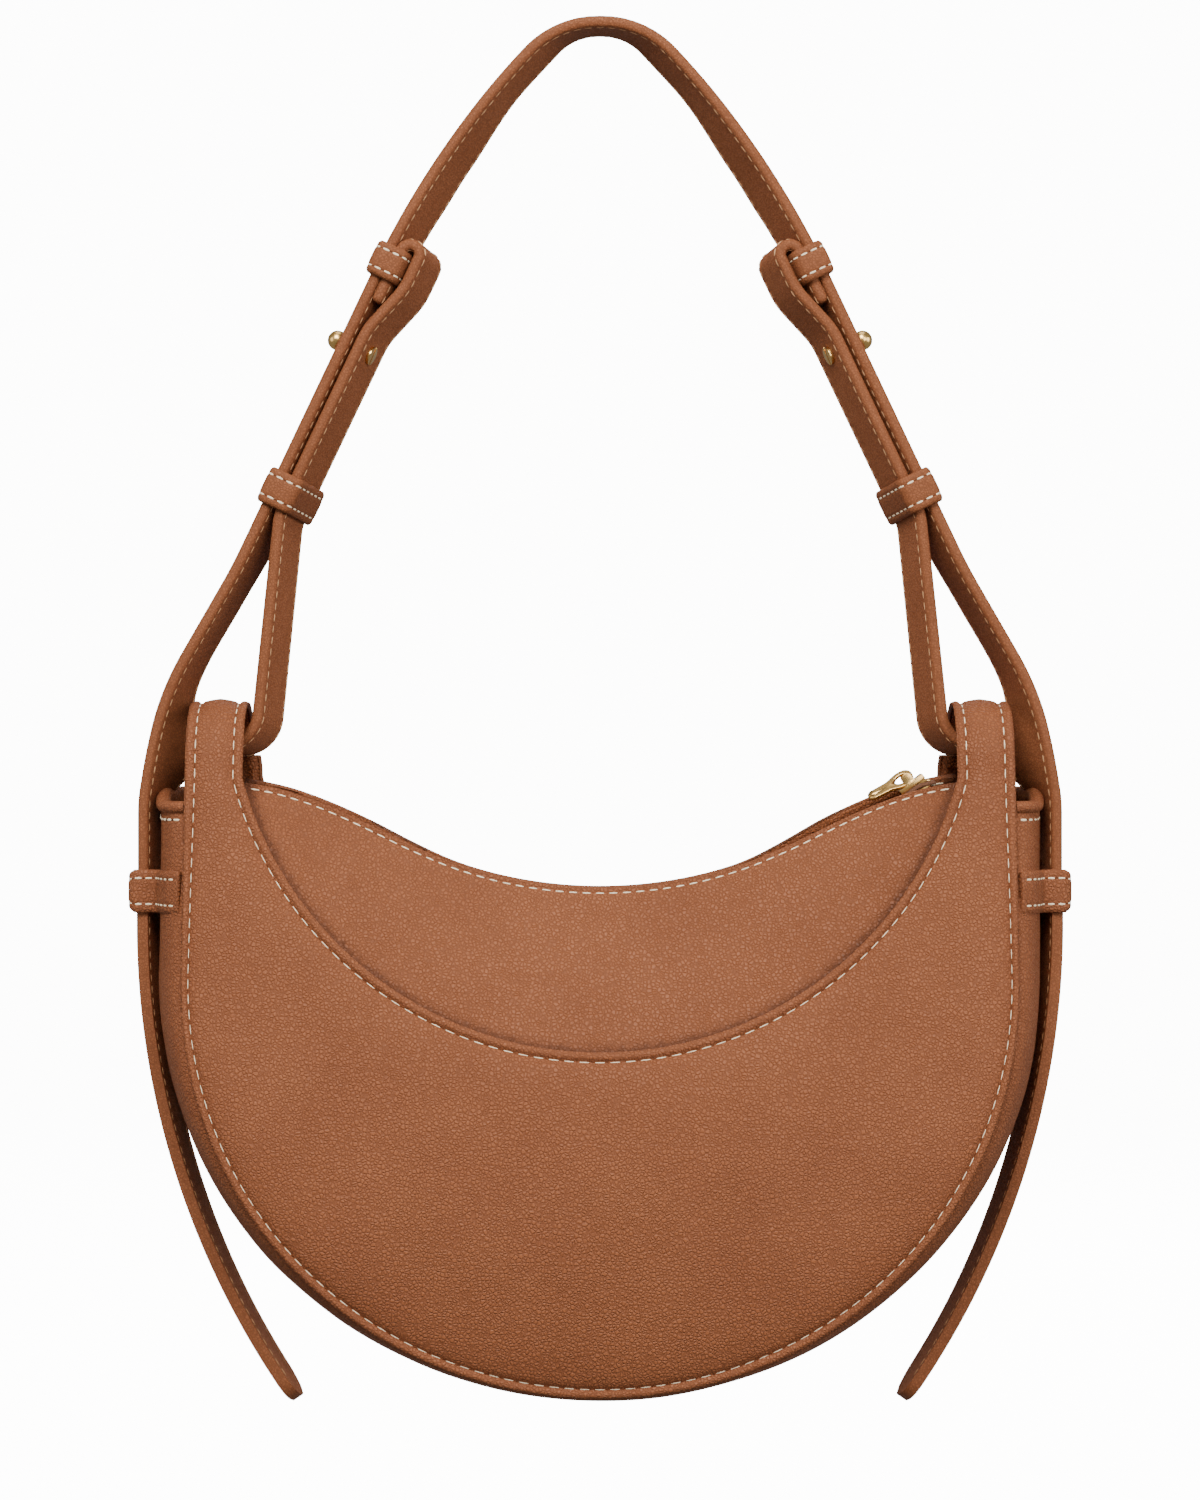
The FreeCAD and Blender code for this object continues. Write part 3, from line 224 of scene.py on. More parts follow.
def belly(level, inset):
    """How far the front swells from the middle at a level, less an inset."""
    rise = level - BOTTOM - BELLY_HALF
    return HALF_DEPTH + FRONT_BULGE - BELLY_RADIUS + math.sqrt((BELLY_RADIUS - inset) ** 2 - rise ** 2)


def front_depth(level, inset=0.0):
    if level <= WAIST:
        return belly(max(level, BOTTOM), inset)
    return belly(WAIST, inset) - (level - WAIST) * math.tan(LEAN_IN)


def back_depth(level, inset=0.0):
    return HALF_DEPTH - inset - max(level - WAIST, 0) * math.tan(LEAN_IN)


def front_profile(level):
    """Depth and height of the front panel, whose levels run on past the fold's touching point."""
    if level <= TOUCH_LEVEL:
        return -front_depth(level), level
    angle = math.pi - LEAN_IN - (level - TOUCH_LEVEL) / FOLD_RADIUS
    return FOLD_RADIUS * math.cos(angle), FOLD_CENTRE + FOLD_RADIUS * math.sin(angle)


def back_profile(level):
    return back_depth(level), level


def smooth_table(places, values, place):
    """A curve through a table of shares, with slopes from its neighbours."""
    last = len(places) - 1
    i = 0
    while i < last - 1 and place > places[i + 1]:
        i += 1
    slopes = []
    for k in (i, i + 1):
        low, high = max(k - 1, 0), min(k + 1, last)
        slopes.append((values[high] - values[low]) / (places[high] - places[low]))
    if i == 0:
        slopes[0] = 0
    span = places[i + 1] - places[i]
    t = (place - places[i]) / span
    rise = values[i + 1] - values[i]
    bend = slopes[0] * t * (1 - t) ** 2 - slopes[1] * t * t * (1 - t)
    return values[i] + rise * ease(t) + span * bend


def ease(share):
    """Smooth step from 0 to 1."""
    share = min(max(share, 0), 1)
    return share * share * (3 - 2 * share)


# Meshes: grids that are bent to a shape, thickened and rounded.
MERGE_DISTANCE = MM / 50
SHARP_ANGLE = math.radians(50)
NORMAL_STEP_SHARE = 0.002
TINY = 1e-9


def only(piece):
    bpy.ops.object.select_all(action="DESELECT")
    piece.select_set(True)
    bpy.context.view_layer.objects.active = piece


def grid_piece(name, rows, columns, place):
    """Adds a grid and moves its points to place(u, v), with u along it and v across it."""
    bpy.ops.object.select_all(action="DESELECT")
    bpy.ops.mesh.primitive_grid_add(x_subdivisions=rows, y_subdivisions=columns, size=1)
    piece = bpy.context.object
    piece.name = name
    piece.data.name = name
    for vertex in piece.data.vertices:
        vertex.co = place(vertex.co.x + 0.5, vertex.co.y + 0.5)
    return piece


def close_mesh(piece, outwards=True):
    """Merges points that meet and turns the faces outwards."""
    only(piece)
    bpy.ops.object.mode_set(mode="EDIT")
    bpy.ops.mesh.select_all(action="SELECT")
    bpy.ops.mesh.remove_doubles(threshold=MERGE_DISTANCE)
    if outwards:
        bpy.ops.mesh.normals_make_consistent(inside=False)
    bpy.ops.object.mode_set(mode="OBJECT")


def add_modifier(piece, kind, **settings):
    modifier = piece.modifiers.new(kind.title(), kind)
    for key, value in settings.items():
        setattr(modifier, key, value)
    only(piece)
    bpy.ops.object.modifier_apply(modifier=modifier.name)


def thicken(piece, thickness, offset, rounding, segments=3, rim_slot=0):
    """Gives a sheet its thickness and rounds the edges that this makes."""
    add_modifier(piece, "SOLIDIFY", thickness=thickness, offset=offset, use_even_offset=False,
                 material_offset_rim=rim_slot)
    add_modifier(piece, "BEVEL", width=rounding, segments=segments, limit_method="ANGLE",
                 angle_limit=SHARP_ANGLE, use_clamp_overlap=True,
                 material=rim_slot if rim_slot else -1)
    close_mesh(piece)
    only(piece)
    bpy.ops.object.shade_smooth()


def dress(piece, material, body):
    """Gives a new piece its finish and the body that it rides on."""
    if material:
        piece.data.materials.clear()
        piece.data.materials.append(material)
    if body:
        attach(piece, body)
    return piece


def paint(node, material):
    """Gives a piece of the frame its finish."""
    part = frame["nodes"][node]
    part.data.materials.clear()
    part.data.materials.append(material)


def surface_normal(base, u, v):
    """Unit vector square to the surface base(u, v)."""
    step = NORMAL_STEP_SHARE
    low_u, high_u = max(u - step, 0), min(u + step, 1)
    low_v, high_v = max(v - step, 0), min(v + step, 1)
    along = base(high_u, v) - base(low_u, v)
    across = base(u, high_v) - base(u, low_v)
    return along.cross(across).normalized()


def waves(point, height, spacing):
    """A slow unevenness that is the same on each run."""
    return height * noise.noise(point / spacing)


class Seam:
    """Rows of stitches gathered into one mesh."""

    rings = 6
    samples = 600
    bluntness = 0.42
    thread_sink_share = 0.28
    hole_sink_share = 0.4
    hole_reach_share = 1.25

    def __init__(self):
        thread = bpy.context.scene.bag_thread
        bpy.ops.object.select_all(action="DESELECT")
        bpy.ops.mesh.primitive_uv_sphere_add(segments=thread.facets, ring_count=self.rings,
                                             radius=0.5)
        model = bpy.context.object
        self.model_points = [Vector((v.co.z, v.co.x, v.co.y)) for v in model.data.vertices]
        self.model_faces = [tuple(f.vertices) for f in model.data.polygons]
        bpy.data.objects.remove(model)
        self.points = []
        self.faces = []
        self.kinds = []

    def stitch(self, spot, goal, long, width, sink, kind):
        """One stitch, or the needle hole between two as a dark blob of painted shade, laid along the row
        so that it bends with it.
        """
        start = len(self.points)
        for p in self.model_points:
            bulk = math.copysign(abs(p.x * 2) ** self.bluntness, p.x) / 2
            point, way, out = spot(goal + bulk * long)
            side = out.cross(way).normalized()
            self.points.append(point + side * p.y * width + way.cross(side) * (p.z - sink) * width)
        self.faces.extend(tuple(start + n for n in face) for face in self.model_faces)
        self.kinds.extend([kind] * len(self.model_faces))

    def row(self, line, pitch, width=None, holes=True):
        """Stitches along line(t), which gives a point and the way out of the leather."""
        thread = bpy.context.scene.bag_thread
        width = width or thread.width
        spots = [line(i / self.samples) for i in range(self.samples + 1)]
        reach = [0.0]
        for (here, _), (there, _) in zip(spots, spots[1:]):
            reach.append(reach[-1] + (there - here).length)

        def spot(goal):
            k = min(max(bisect.bisect_right(reach, goal) - 1, 0), self.samples - 1)
            share = (goal - reach[k]) / max(reach[k + 1] - reach[k], TINY)
            point = spots[k][0].lerp(spots[k + 1][0], share)
            out = spots[k][1].lerp(spots[k + 1][1], share)
            return point, (spots[k + 1][0] - spots[k][0]).normalized(), out.normalized()
        count = max(int(reach[-1] / pitch), 1)
        step = reach[-1] / count
        for i in range(count):
            self.stitch(spot, (i + 0.5) * step, step * thread.cover, width, self.thread_sink_share, 0)
            # Between stitches, a dark blob of painted shade stands for the needle hole's hollow.
            if holes and i:
                long = step * (self.hole_reach_share - thread.cover)
                self.stitch(spot, i * step, long, width, self.hole_sink_share, 1)

    def sew(self, name, material, body):
        """Makes one piece of all the rows."""
        mesh = bpy.data.meshes.new(name)
        mesh.from_pydata([tuple(p) for p in self.points], [], self.faces)
        piece = bpy.data.objects.new(name, mesh)
        bpy.context.scene.collection.objects.link(piece)
        mesh.materials.append(material)
        mesh.materials.append(needle_hole_shade())
        mesh.polygons.foreach_set("material_index", self.kinds)
        close_mesh(piece)
        only(piece)
        bpy.ops.object.shade_smooth()
        return dress(piece, None, body)


# Routes: lines and arcs in the XZ plane, and bands between two of them.
def heading(lean):
    return Vector((-math.sin(lean), -math.cos(lean)))


def inward(way):
    return Vector((-way.y, way.x))


def lean_to(point, target):
    return math.atan2(point.x - target.x, point.y - target.y)


def crossing(point, way, other, other_way):
    span = other - point
    scale = way.x * other_way.y - way.y * other_way.x
    return point + way * ((span.x * other_way.y - span.y * other_way.x) / scale)


class Route:
    """Straight runs and arcs from corners with bend radii."""

    def __init__(self, corners):
        first, second = corners[0][0], corners[1][0]
        self.nodes = [(first, (second - first).normalized(), 0.0)]
        for before, (corner, radius), after in zip(corners, corners[1:], corners[2:]):
            coming = (corner - before[0]).normalized()
            going = (after[0] - corner).normalized()
            turn = math.atan2(coming.x * going.y - coming.y * going.x, coming.dot(going))
            cut = radius * math.tan(abs(turn) / 2)
            self.nodes.append((corner - coming * cut, coming, math.copysign(radius, turn)))
            self.nodes.append((corner + going * cut, going, 0.0))
        last, previous = corners[-1][0], corners[-2][0]
        self.nodes.append((last, (last - previous).normalized(), 0.0))

    def turn(self, k):
        (_, way, _), (_, next_way, _) = self.nodes[k], self.nodes[k + 1]
        return math.atan2(way.x * next_way.y - way.y * next_way.x, way.dot(next_way))

    def length(self, k):
        point, _, bend = self.nodes[k]
        if bend == 0:
            return (self.nodes[k + 1][0] - point).length
        return abs(bend * self.turn(k))

    def at(self, k, share):
        point, way, bend = self.nodes[k]
        if bend == 0:
            return point.lerp(self.nodes[k + 1][0], share)
        centre = point + inward(way) * bend
        arm = Vector(point - centre)
        arm.rotate(Matrix.Rotation(self.turn(k) * share, 2))
        return centre + arm

    def stops(self):
        """Distances from the start to each node."""
        reached = [0.0]
        for k in range(len(self.nodes) - 1):
            reached.append(reached[-1] + self.length(k))
        return reached


def leg_and_share(stops, distance):
    """The leg of a route that a distance falls on, and how much of that leg it has passed."""
    k = 0
    while k < len(stops) - 2 and distance > stops[k + 1]:
        k += 1
    return k, (distance - stops[k]) / max(stops[k + 1] - stops[k], TINY)


class Band:
    """A strap whose front and back edges follow two routes."""

    nudge_share = 0.05

    def __init__(self, front, back, side=-1):
        self.front = Route(front)
        self.back = Route(back)
        self.flip = -side
        self.stops = [0.0]
        for k in range(len(self.front.nodes) - 1):
            self.stops.append(self.stops[-1] + (self.front.length(k) + self.back.length(k)) / 2)
        self.length = self.stops[-1]

    def middle(self, distance, v):
        """Point on the middle surface at a distance along and a share across, front to back."""
        distance = min(max(distance, 0), self.length)
        k, share = leg_and_share(self.stops, distance)
        front, back = self.front.at(k, share), self.back.at(k, share)
        flat = front.lerp(back, v)
        return Vector((flat.x * self.flip, (2 * v - 1) * HALF_STRAP, flat.y))

    def out(self, distance, v):
        """Unit vector out of the face that looks away from the bag's middle."""
        low, high = max(v - self.nudge_share, 0), min(v + self.nudge_share, 1)
        along = self.middle(distance + MM, v) - self.middle(distance - MM, v)
        across = self.middle(distance, high) - self.middle(distance, low)
        return along.cross(across).normalized()


# The left half of the straps: a leg runs from the shoulder at the top to the knee beside the horn.
KNEE_LIFT_SHARE = 1.6
KNEE_DROP_SHARE = 1.6
APEX_BEND_SHARE = 0.94
LOOP_BEND = 0.99 * LOOP_TURN
DOUBLING_BEND = 7 * THICK
PARTING_BEND = 5 * THICK
TUNNEL_BEND = 3.5 * THICK
TUNNEL_REACH = 4.5 * THICK
TUNNEL_DROP_SHARE = 0.3
KNEE = Vector((-SIDE_X, HINGE_LEVEL + KNEE_LIFT_SHARE * THICK))
APEX_LEVEL = THICK / 2
APEX_CORNER = Vector((-APEX_HALF_WIDTH, APEX_LEVEL))
APEX_TANGENT = APEX_HALF_WIDTH - APEX_FLAT
SHOULDER_TANGENT = SHOULDER_REACH - APEX_FLAT - APEX_TANGENT
TOP_LEAN = lean_to(APEX_CORNER, KNEE) + APEX_EASE
TOP_WAY = heading(TOP_LEAN)
SHOULDER_CORNER = APEX_CORNER + TOP_WAY * SHOULDER_REACH
LEG_LEAN = lean_to(SHOULDER_CORNER, KNEE) - LEG_EASE
LEG_WAY = heading(LEG_LEAN)
FOOT_LEAN = lean_to(SHOULDER_CORNER, KNEE) + FOOT_EASE
FOOT_WAY = heading(FOOT_LEAN)
KINK = crossing(SHOULDER_CORNER, LEG_WAY, KNEE, FOOT_WAY)
SHOULDER_RADIUS = SHOULDER_TANGENT / math.tan((TOP_LEAN - LEG_LEAN) / 2)
KNEE_RADIUS = KNEE_SHARE * (KINK - KNEE).length / math.tan(FOOT_LEAN / 2)
APEX_HALF_TURN = (math.pi / 2 - TOP_LEAN) / 2
LEG_TOP = SHOULDER_CORNER + LEG_WAY * SHOULDER_TANGENT
DOUBLED_START = 5.5 * THICK
STUD_PLACE = DOUBLED_START + 2 * THICK
LOWER_KEEPER_PLACE = KEEPER_SHARE * (KINK - LEG_TOP).length
PARTING_PLACE = LOWER_KEEPER_PLACE + LOWER_KEEPER_HEIGHT / 2 + 3 * KEEPER_PLAY


def strap_corners(shift):
    """Corners of the left half of the long strap for an edge shifted in by some amount."""
    top_point = APEX_CORNER + inward(TOP_WAY) * shift
    leg_point = SHOULDER_CORNER + inward(LEG_WAY) * shift
    knee_point = KNEE - Vector((0, KNEE_DROP_SHARE * shift))
    one = crossing(top_point, TOP_WAY, Vector((0, APEX_LEVEL)), Vector((1, 0)))
    two = crossing(top_point, TOP_WAY, leg_point, LEG_WAY)
    three = crossing(leg_point, LEG_WAY, knee_point, FOOT_WAY)
    bend = min(APEX_TANGENT, APEX_BEND_SHARE * abs(one.x)) / math.tan(APEX_HALF_TURN)
    return [(one, bend), (two, SHOULDER_RADIUS - shift), (three, KINK_RADIUS + shift),
            (knee_point, KNEE_RADIUS - shift)]


def on_leg(place, across, shift=0.0):
    """Point at a distance down the left leg and a distance in from the strap's middle."""
    return LEG_TOP + LEG_WAY * place + inward(LEG_WAY) * (across + shift)


def lower_corners(shift):
    """Short end, turn over the upper keeper, doubled run and the way into the horn."""
    beside = THICK + STRAP_GAP
    above = -UPPER_KEEPER_RISE - UPPER_KEEPER_HEIGHT / 2 - LOOP_TURN
    doubled = THICK + DOUBLED_GAP
    tunnel = Vector((-(HORN_INNER - LEATHER), HINGE_LEVEL))
    return [
        (on_leg(SHORT_END, beside, shift), 0),
        (on_leg(above, beside, shift), LOOP_BEND),
        (on_leg(above, beside + 2 * LOOP_TURN, shift), LOOP_BEND),
        (on_leg(THICK / 2, beside + 2 * LOOP_TURN, shift), DOUBLING_BEND),
        (on_leg(DOUBLED_START, doubled, shift), DOUBLING_BEND),
        (on_leg(PARTING_PLACE, doubled, shift), PARTING_BEND),
        (tunnel + Vector((shift, -TUNNEL_DROP_SHARE * shift)), TUNNEL_BEND),
        (tunnel - Vector((TUNNEL_REACH, TUNNEL_DROP_SHARE * shift)), 0),
    ]


# Shader sockets that take part in sums and products.
class Wire:
    """A socket whose sums, differences and products become Math nodes."""

    def __init__(self, shader, socket):
        self.shader = shader
        self.socket = socket

    def maths(self, operation, first, second):
        return self.shader.node("ShaderNodeMath", {"operation": operation}, {0: first, 1: second})[0]

    def __add__(self, other):
        return self.maths("ADD", self, other)

    def __radd__(self, other):
        return self.maths("ADD", other, self)

    def __sub__(self, other):
        return self.maths("SUBTRACT", self, other)

    def __rsub__(self, other):
        return self.maths("SUBTRACT", other, self)

    def __mul__(self, other):
        return self.maths("MULTIPLY", self, other)

    def __rmul__(self, other):
        return self.maths("MULTIPLY", other, self)


class Shader:
    """A material's nodes, made by type with their settings and the values of their sockets."""

    def __init__(self, name):
        self.material = bpy.data.materials.new(name)
        self.material.use_nodes = True
        self.tree = self.material.node_tree
        self.surface = self.tree.nodes["Principled BSDF"]

    def link(self, socket, value):
        if isinstance(value, Wire):
            self.tree.links.new(value.socket, socket)
        elif hasattr(value, "__len__") and socket.type == "RGBA":
            socket.default_value = (*value[:3], 1)
        else:
            socket.default_value = value

    def node(self, kind, settings=None, inputs=None):
        made = self.tree.nodes.new(kind)
        for key, value in (settings or {}).items():
            setattr(made, key, value)
        for key, value in (inputs or {}).items():
            self.link(made.inputs[key], value)
        return [Wire(self, out) for out in made.outputs]

    def ramp(self, factor, stops):
        made = self.tree.nodes.new("ShaderNodeValToRGB")
        while len(made.color_ramp.elements) < len(stops):
            made.color_ramp.elements.new(0.5)
        for element, (place, grey) in zip(made.color_ramp.elements, stops):
            element.position = place
            element.color = (grey, grey, grey, 1)
        self.link(made.inputs[0], factor)
        return Wire(self, made.outputs[0])

    def mix(self, factor, first, second):
        settings = {"data_type": "RGBA", "blend_type": "MIX"}
        return self.node("ShaderNodeMix", settings, {0: factor, 6: first, 7: second})[2]

    def place(self):
        return self.node("ShaderNodeTexCoord")[3]

    def noise(self, place, spacing, detail=2.0, roughness=0.5):
        inputs = {"Vector": place, "Scale": 1 / spacing, "Detail": detail, "Roughness": roughness}
        return self.node("ShaderNodeTexNoise", None, inputs)[0]

    def cells(self, place, spacing):
        """Distance to the nearest border between pebbles."""
        inputs = {"Vector": place, "Scale": 1 / spacing}
        return self.node("ShaderNodeTexVoronoi", {"feature": "DISTANCE_TO_EDGE"}, inputs)[0]

    def bump(self, height, distance, strength):
        inputs = {"Height": height, "Distance": distance, "Strength": strength}
        return self.node("ShaderNodeBump", None, inputs)[0]

    def finish(self, **sockets):
        for key, value in sockets.items():
            self.link(self.surface.inputs[key.replace("_", " ")], value)
        return self.material


# Finishes: spacings and depths of their patterns, and shares of their darker tones.
FINISHES = {}
CLOUD_SPACING = 38 * MM
SPECKLE_SPACING = 2.4 * MM
PEBBLE_SPACING = 1.25 * MM
PEBBLE_DEPTH = 0.34 * MM
FINE_SPACING = 0.5 * MM
TWIST_SPACING = 0.35 * MM
TWIST_DEPTH = 0.15 * MM
FUZZ_SPACING = 3 * MM
SMEAR_SPACING = 4 * MM
HAIRLINE_SPACING = 0.3 * MM
HAIRLINE_DEPTH = 0.04 * MM
LINT_SPACING = 1.5 * MM
WEAVE_DEPTH = 0.2 * MM
NAP_SPACING = 0.6 * MM
NAP_DEPTH = 0.3 * MM
PATCH_SPACING = 9 * MM
PORE_SHARE = 0.62
PORE_TONE = 0.55
# Darkness of the painted shade on the yoke along the crescent's inner edge.
SCOOP_SHADE_TONE = 0.42
DARK_THREAD_TONE = 0.72
DARK_CLOTH_TONE = 0.6
# Darkness of the painted shade in the needle holes.
NEEDLE_HOLE_SHADE_TONE = 0.3
WARM_BRASS_TONES = (0.9, 0.82, 0.7)


def toned(colour, share):
    """A colour with all its channels times one share."""
    return [channel * share for channel in colour]


def tinted(colour, shares):
    """A colour with its channels times a share each."""
    return [channel * share for channel, share in zip(colour, shares)]


def leather(name, tone=(1.0, 1.0, 1.0), grain=1.0, gloss=0.25, relief=1.0, scoop_shade=False):
    """Pebbled leather: clouded colour, pores darker than the crowns between them.

    Where asked, painted shade darkens the leather towards the crescent's inner edge, which overhangs it.
    """
    if name in FINISHES:
        return FINISHES[name]
    colours = bpy.context.scene.bag_colours
    shader = Shader(name)
    place = shader.place()
    clouds = shader.noise(place, CLOUD_SPACING, 4.0, 0.6)
    speckle = shader.noise(place, SPECKLE_SPACING, 3.0, 0.65)
    pebbles = shader.cells(place, PEBBLE_SPACING * grain)
    crowns = shader.ramp(pebbles, ((0.0, 0.0), (0.26, 1.0)))
    fine = shader.noise(place, FINE_SPACING, 2.0, 0.6)
    bright = tinted(colours.tan, tone)
    deep = tinted(colours.tan_deep, tone)
    cloud_share = shader.ramp(clouds * 0.65 + speckle * 0.35, ((0.3, 1.0), (0.68, 0.0)))
    colour = shader.mix(cloud_share, bright, deep)
    colour = shader.mix((1 - crowns) * PORE_SHARE, colour, toned(deep, PORE_TONE))
    # Painted shade: darker leather along the crescent's inner edge, where it overhangs the yoke.
    if scoop_shade:
        x, _, z = shader.node("ShaderNodeSeparateXYZ", None, {"Vector": place})[:3]
        beyond = x * x + (z - SCOOP_CENTRE) * (z - SCOOP_CENTRE) - SCOOP_RADIUS ** 2
        inside = beyond * (1 / (2 * SCOOP_RADIUS * SCOOP_SHADE_REACH)) + (speckle - 0.5) * 1.5
        shade = shader.ramp(inside + 1, ((0.0, 0.0), (0.55, 0.25), (0.95, 0.8)))
        colour = shader.mix(shade, colour, toned(deep, SCOOP_SHADE_TONE))
    roughness = 0.5 + (1 - crowns) * 0.2 + fine * 0.12 - speckle * 0.08
    height = crowns * 0.7 + fine * 0.25 + speckle * 0.3
    normal = shader.bump(height, PEBBLE_DEPTH * grain, relief)
    FINISHES[name] = shader.finish(Base_Color=colour, Roughness=roughness, Normal=normal,
                                   Specular_IOR_Level=gloss)
    return FINISHES[name]


def thread(name, colour):
    """Waxed thread with a twist that shows as fine streaks."""
    if name in FINISHES:
        return FINISHES[name]
    shader = Shader(name)
    place = shader.place()
    streaks = shader.noise(place, TWIST_SPACING, 2.0)
    fuzz = shader.noise(place, FUZZ_SPACING, 2.0)
    streaked = shader.ramp(streaks * 0.6 + fuzz * 0.4, ((0.35, 1.0), (0.6, 0.0)))
    tint = shader.mix(streaked, colour, toned(colour, DARK_THREAD_TONE))
    normal = shader.bump(streaks, TWIST_DEPTH, 0.5)
    FINISHES[name] = shader.finish(Base_Color=tint, Roughness=0.62 + streaks * 0.2, Normal=normal,
                                   Specular_IOR_Level=0.3)
    return FINISHES[name]


def brass():
    """Polished brass with faint smears and hairlines."""
    if "polished_brass" in FINISHES:
        return FINISHES["polished_brass"]
    colours = bpy.context.scene.bag_colours
    shader = Shader("polished_brass")
    place = shader.place()
    smears = shader.noise(place, SMEAR_SPACING, 3.0)
    hairlines = shader.noise(place, HAIRLINE_SPACING, 2.0)
    smeared = shader.ramp(smears, ((0.4, 0.0), (0.7, 1.0)))
    tint = shader.mix(smeared, colours.brass, tinted(colours.brass, WARM_BRASS_TONES))
    normal = shader.bump(hairlines, HAIRLINE_DEPTH, 0.25)
    FINISHES["polished_brass"] = shader.finish(
        Base_Color=tint, Metallic=1.0, Roughness=0.2 + smears * 0.14, Normal=normal)
    return FINISHES["polished_brass"]


def woven(name, colour, spacing):
    """Close plain weave: crossing threads from two sine waves."""
    if name in FINISHES:
        return FINISHES[name]
    shader = Shader(name)
    place = shader.place()
    inputs = {"Vector": place, "Scale": 0.3 / spacing, "Distortion": 0.6}
    waved = []
    for way in ("X", "Z"):
        settings = {"wave_type": "BANDS", "bands_direction": way}
        waved.append(shader.node("ShaderNodeTexWave", settings, inputs)[1])
    warp, weft = waved
    fuzz = shader.noise(place, LINT_SPACING, 3.0)
    height = warp * weft
    tint = shader.mix(height * 0.6 + fuzz * 0.3, toned(colour, DARK_CLOTH_TONE), colour)
    normal = shader.bump(height + fuzz * 0.3, WEAVE_DEPTH, 0.6)
    FINISHES[name] = shader.finish(Base_Color=tint, Roughness=0.75 + fuzz * 0.2, Normal=normal,
                                   Specular_IOR_Level=0.25)
    return FINISHES[name]


def napped(name, colour):
    """Raw suede or felted padding with a soft nap."""
    if name in FINISHES:
        return FINISHES[name]
    shader = Shader(name)
    place = shader.place()
    nap = shader.noise(place, NAP_SPACING, 4.0, 0.7)
    patches = shader.noise(place, PATCH_SPACING, 3.0)
    brushed = shader.ramp(nap * 0.6 + patches * 0.4, ((0.35, 1.0), (0.65, 0.0)))
    tint = shader.mix(brushed, colour, toned(colour, DARK_CLOTH_TONE))
    normal = shader.bump(nap, NAP_DEPTH, 0.6)
    FINISHES[name] = shader.finish(Base_Color=tint, Roughness=0.85 + nap * 0.1, Normal=normal,
                                   Specular_IOR_Level=0.15)
    return FINISHES[name]


def panel_leather():
    return leather("panel_leather")


# Yoke leather with painted shade along the crescent's inner edge.
def yoke_leather():
    return leather("yoke_leather", scoop_shade=True)


def strap_leather():
    return leather("strap_leather", tone=(0.94, 0.98, 1.04), grain=0.8, gloss=0.15, relief=0.5)


# Painted light: the strap leather made brighter on the broad faces, standing in for light that reaches
# them too little.
def strap_face_leather_painted_light():
    return leather("strap_face_leather_painted_light", tone=(1.08, 1.16, 1.32), grain=0.8, gloss=0.08, relief=0.45)


def cream_thread():
    return thread("cream_thread", bpy.context.scene.bag_colours.thread)


# Needle holes: near-black painted shade for their hollows.
def needle_hole_shade():
    return napped("needle_hole_shade", toned(bpy.context.scene.bag_colours.tan_deep, NEEDLE_HOLE_SHADE_TONE))


def brown_thread():
    return thread("brown_thread", bpy.context.scene.bag_colours.strap_thread)


# Panels.
MOUTH_SEAM = 1.6 * MM
EDGE_STEPS = (0, 1.5 * MM, 2.4 * MM, 3 * MM, 3.4 * MM, 3.9 * MM, 4.8 * MM, 6.4 * MM)
CRESCENT_COLUMNS = 38
CRESCENT_ROWS = 330
BEAD_HEIGHT = 0.6 * MM
GROOVE_REACH = 0.8 * MM
CLOSE_PITCH_SHARE = 0.9
YOKE_ROUND_SHARE = 0.9
GUSSET_ROUND_SHARE = 0.6
LOOP_ROUND_SHARE = 0.7
KEEPER_ROUND_SHARE = 0.8


def step_across(v, columns, width):
    """Distance from the first edge of a panel, with columns gathered at both edges."""
    i = v * columns
    last = len(EDGE_STEPS) - 1
    if i > columns / 2:
        return width - step_across(1 - v, columns, width)
    if i <= last:
        low = min(int(i), last - 1)
        return EDGE_STEPS[low] + (EDGE_STEPS[low + 1] - EDGE_STEPS[low]) * (i - low)
    inner = width - 2 * EDGE_STEPS[-1]
    return EDGE_STEPS[-1] + inner * (i - last) / (columns - 2 * last)


def quilted(edge):
    """Height of padded leather at a distance from its edge: bead, stitch groove and swelling."""
    shape = bpy.context.scene.bag_shape
    past = edge - shape.seam_inset
    dip = shape.groove * math.exp(-(past / GROOVE_REACH) ** 2)
    if past < 0:
        return BEAD_HEIGHT * math.sin(math.pi * edge / shape.seam_inset) - dip
    return shape.puff * (1 - math.exp(-past / shape.puff_reach)) - dip


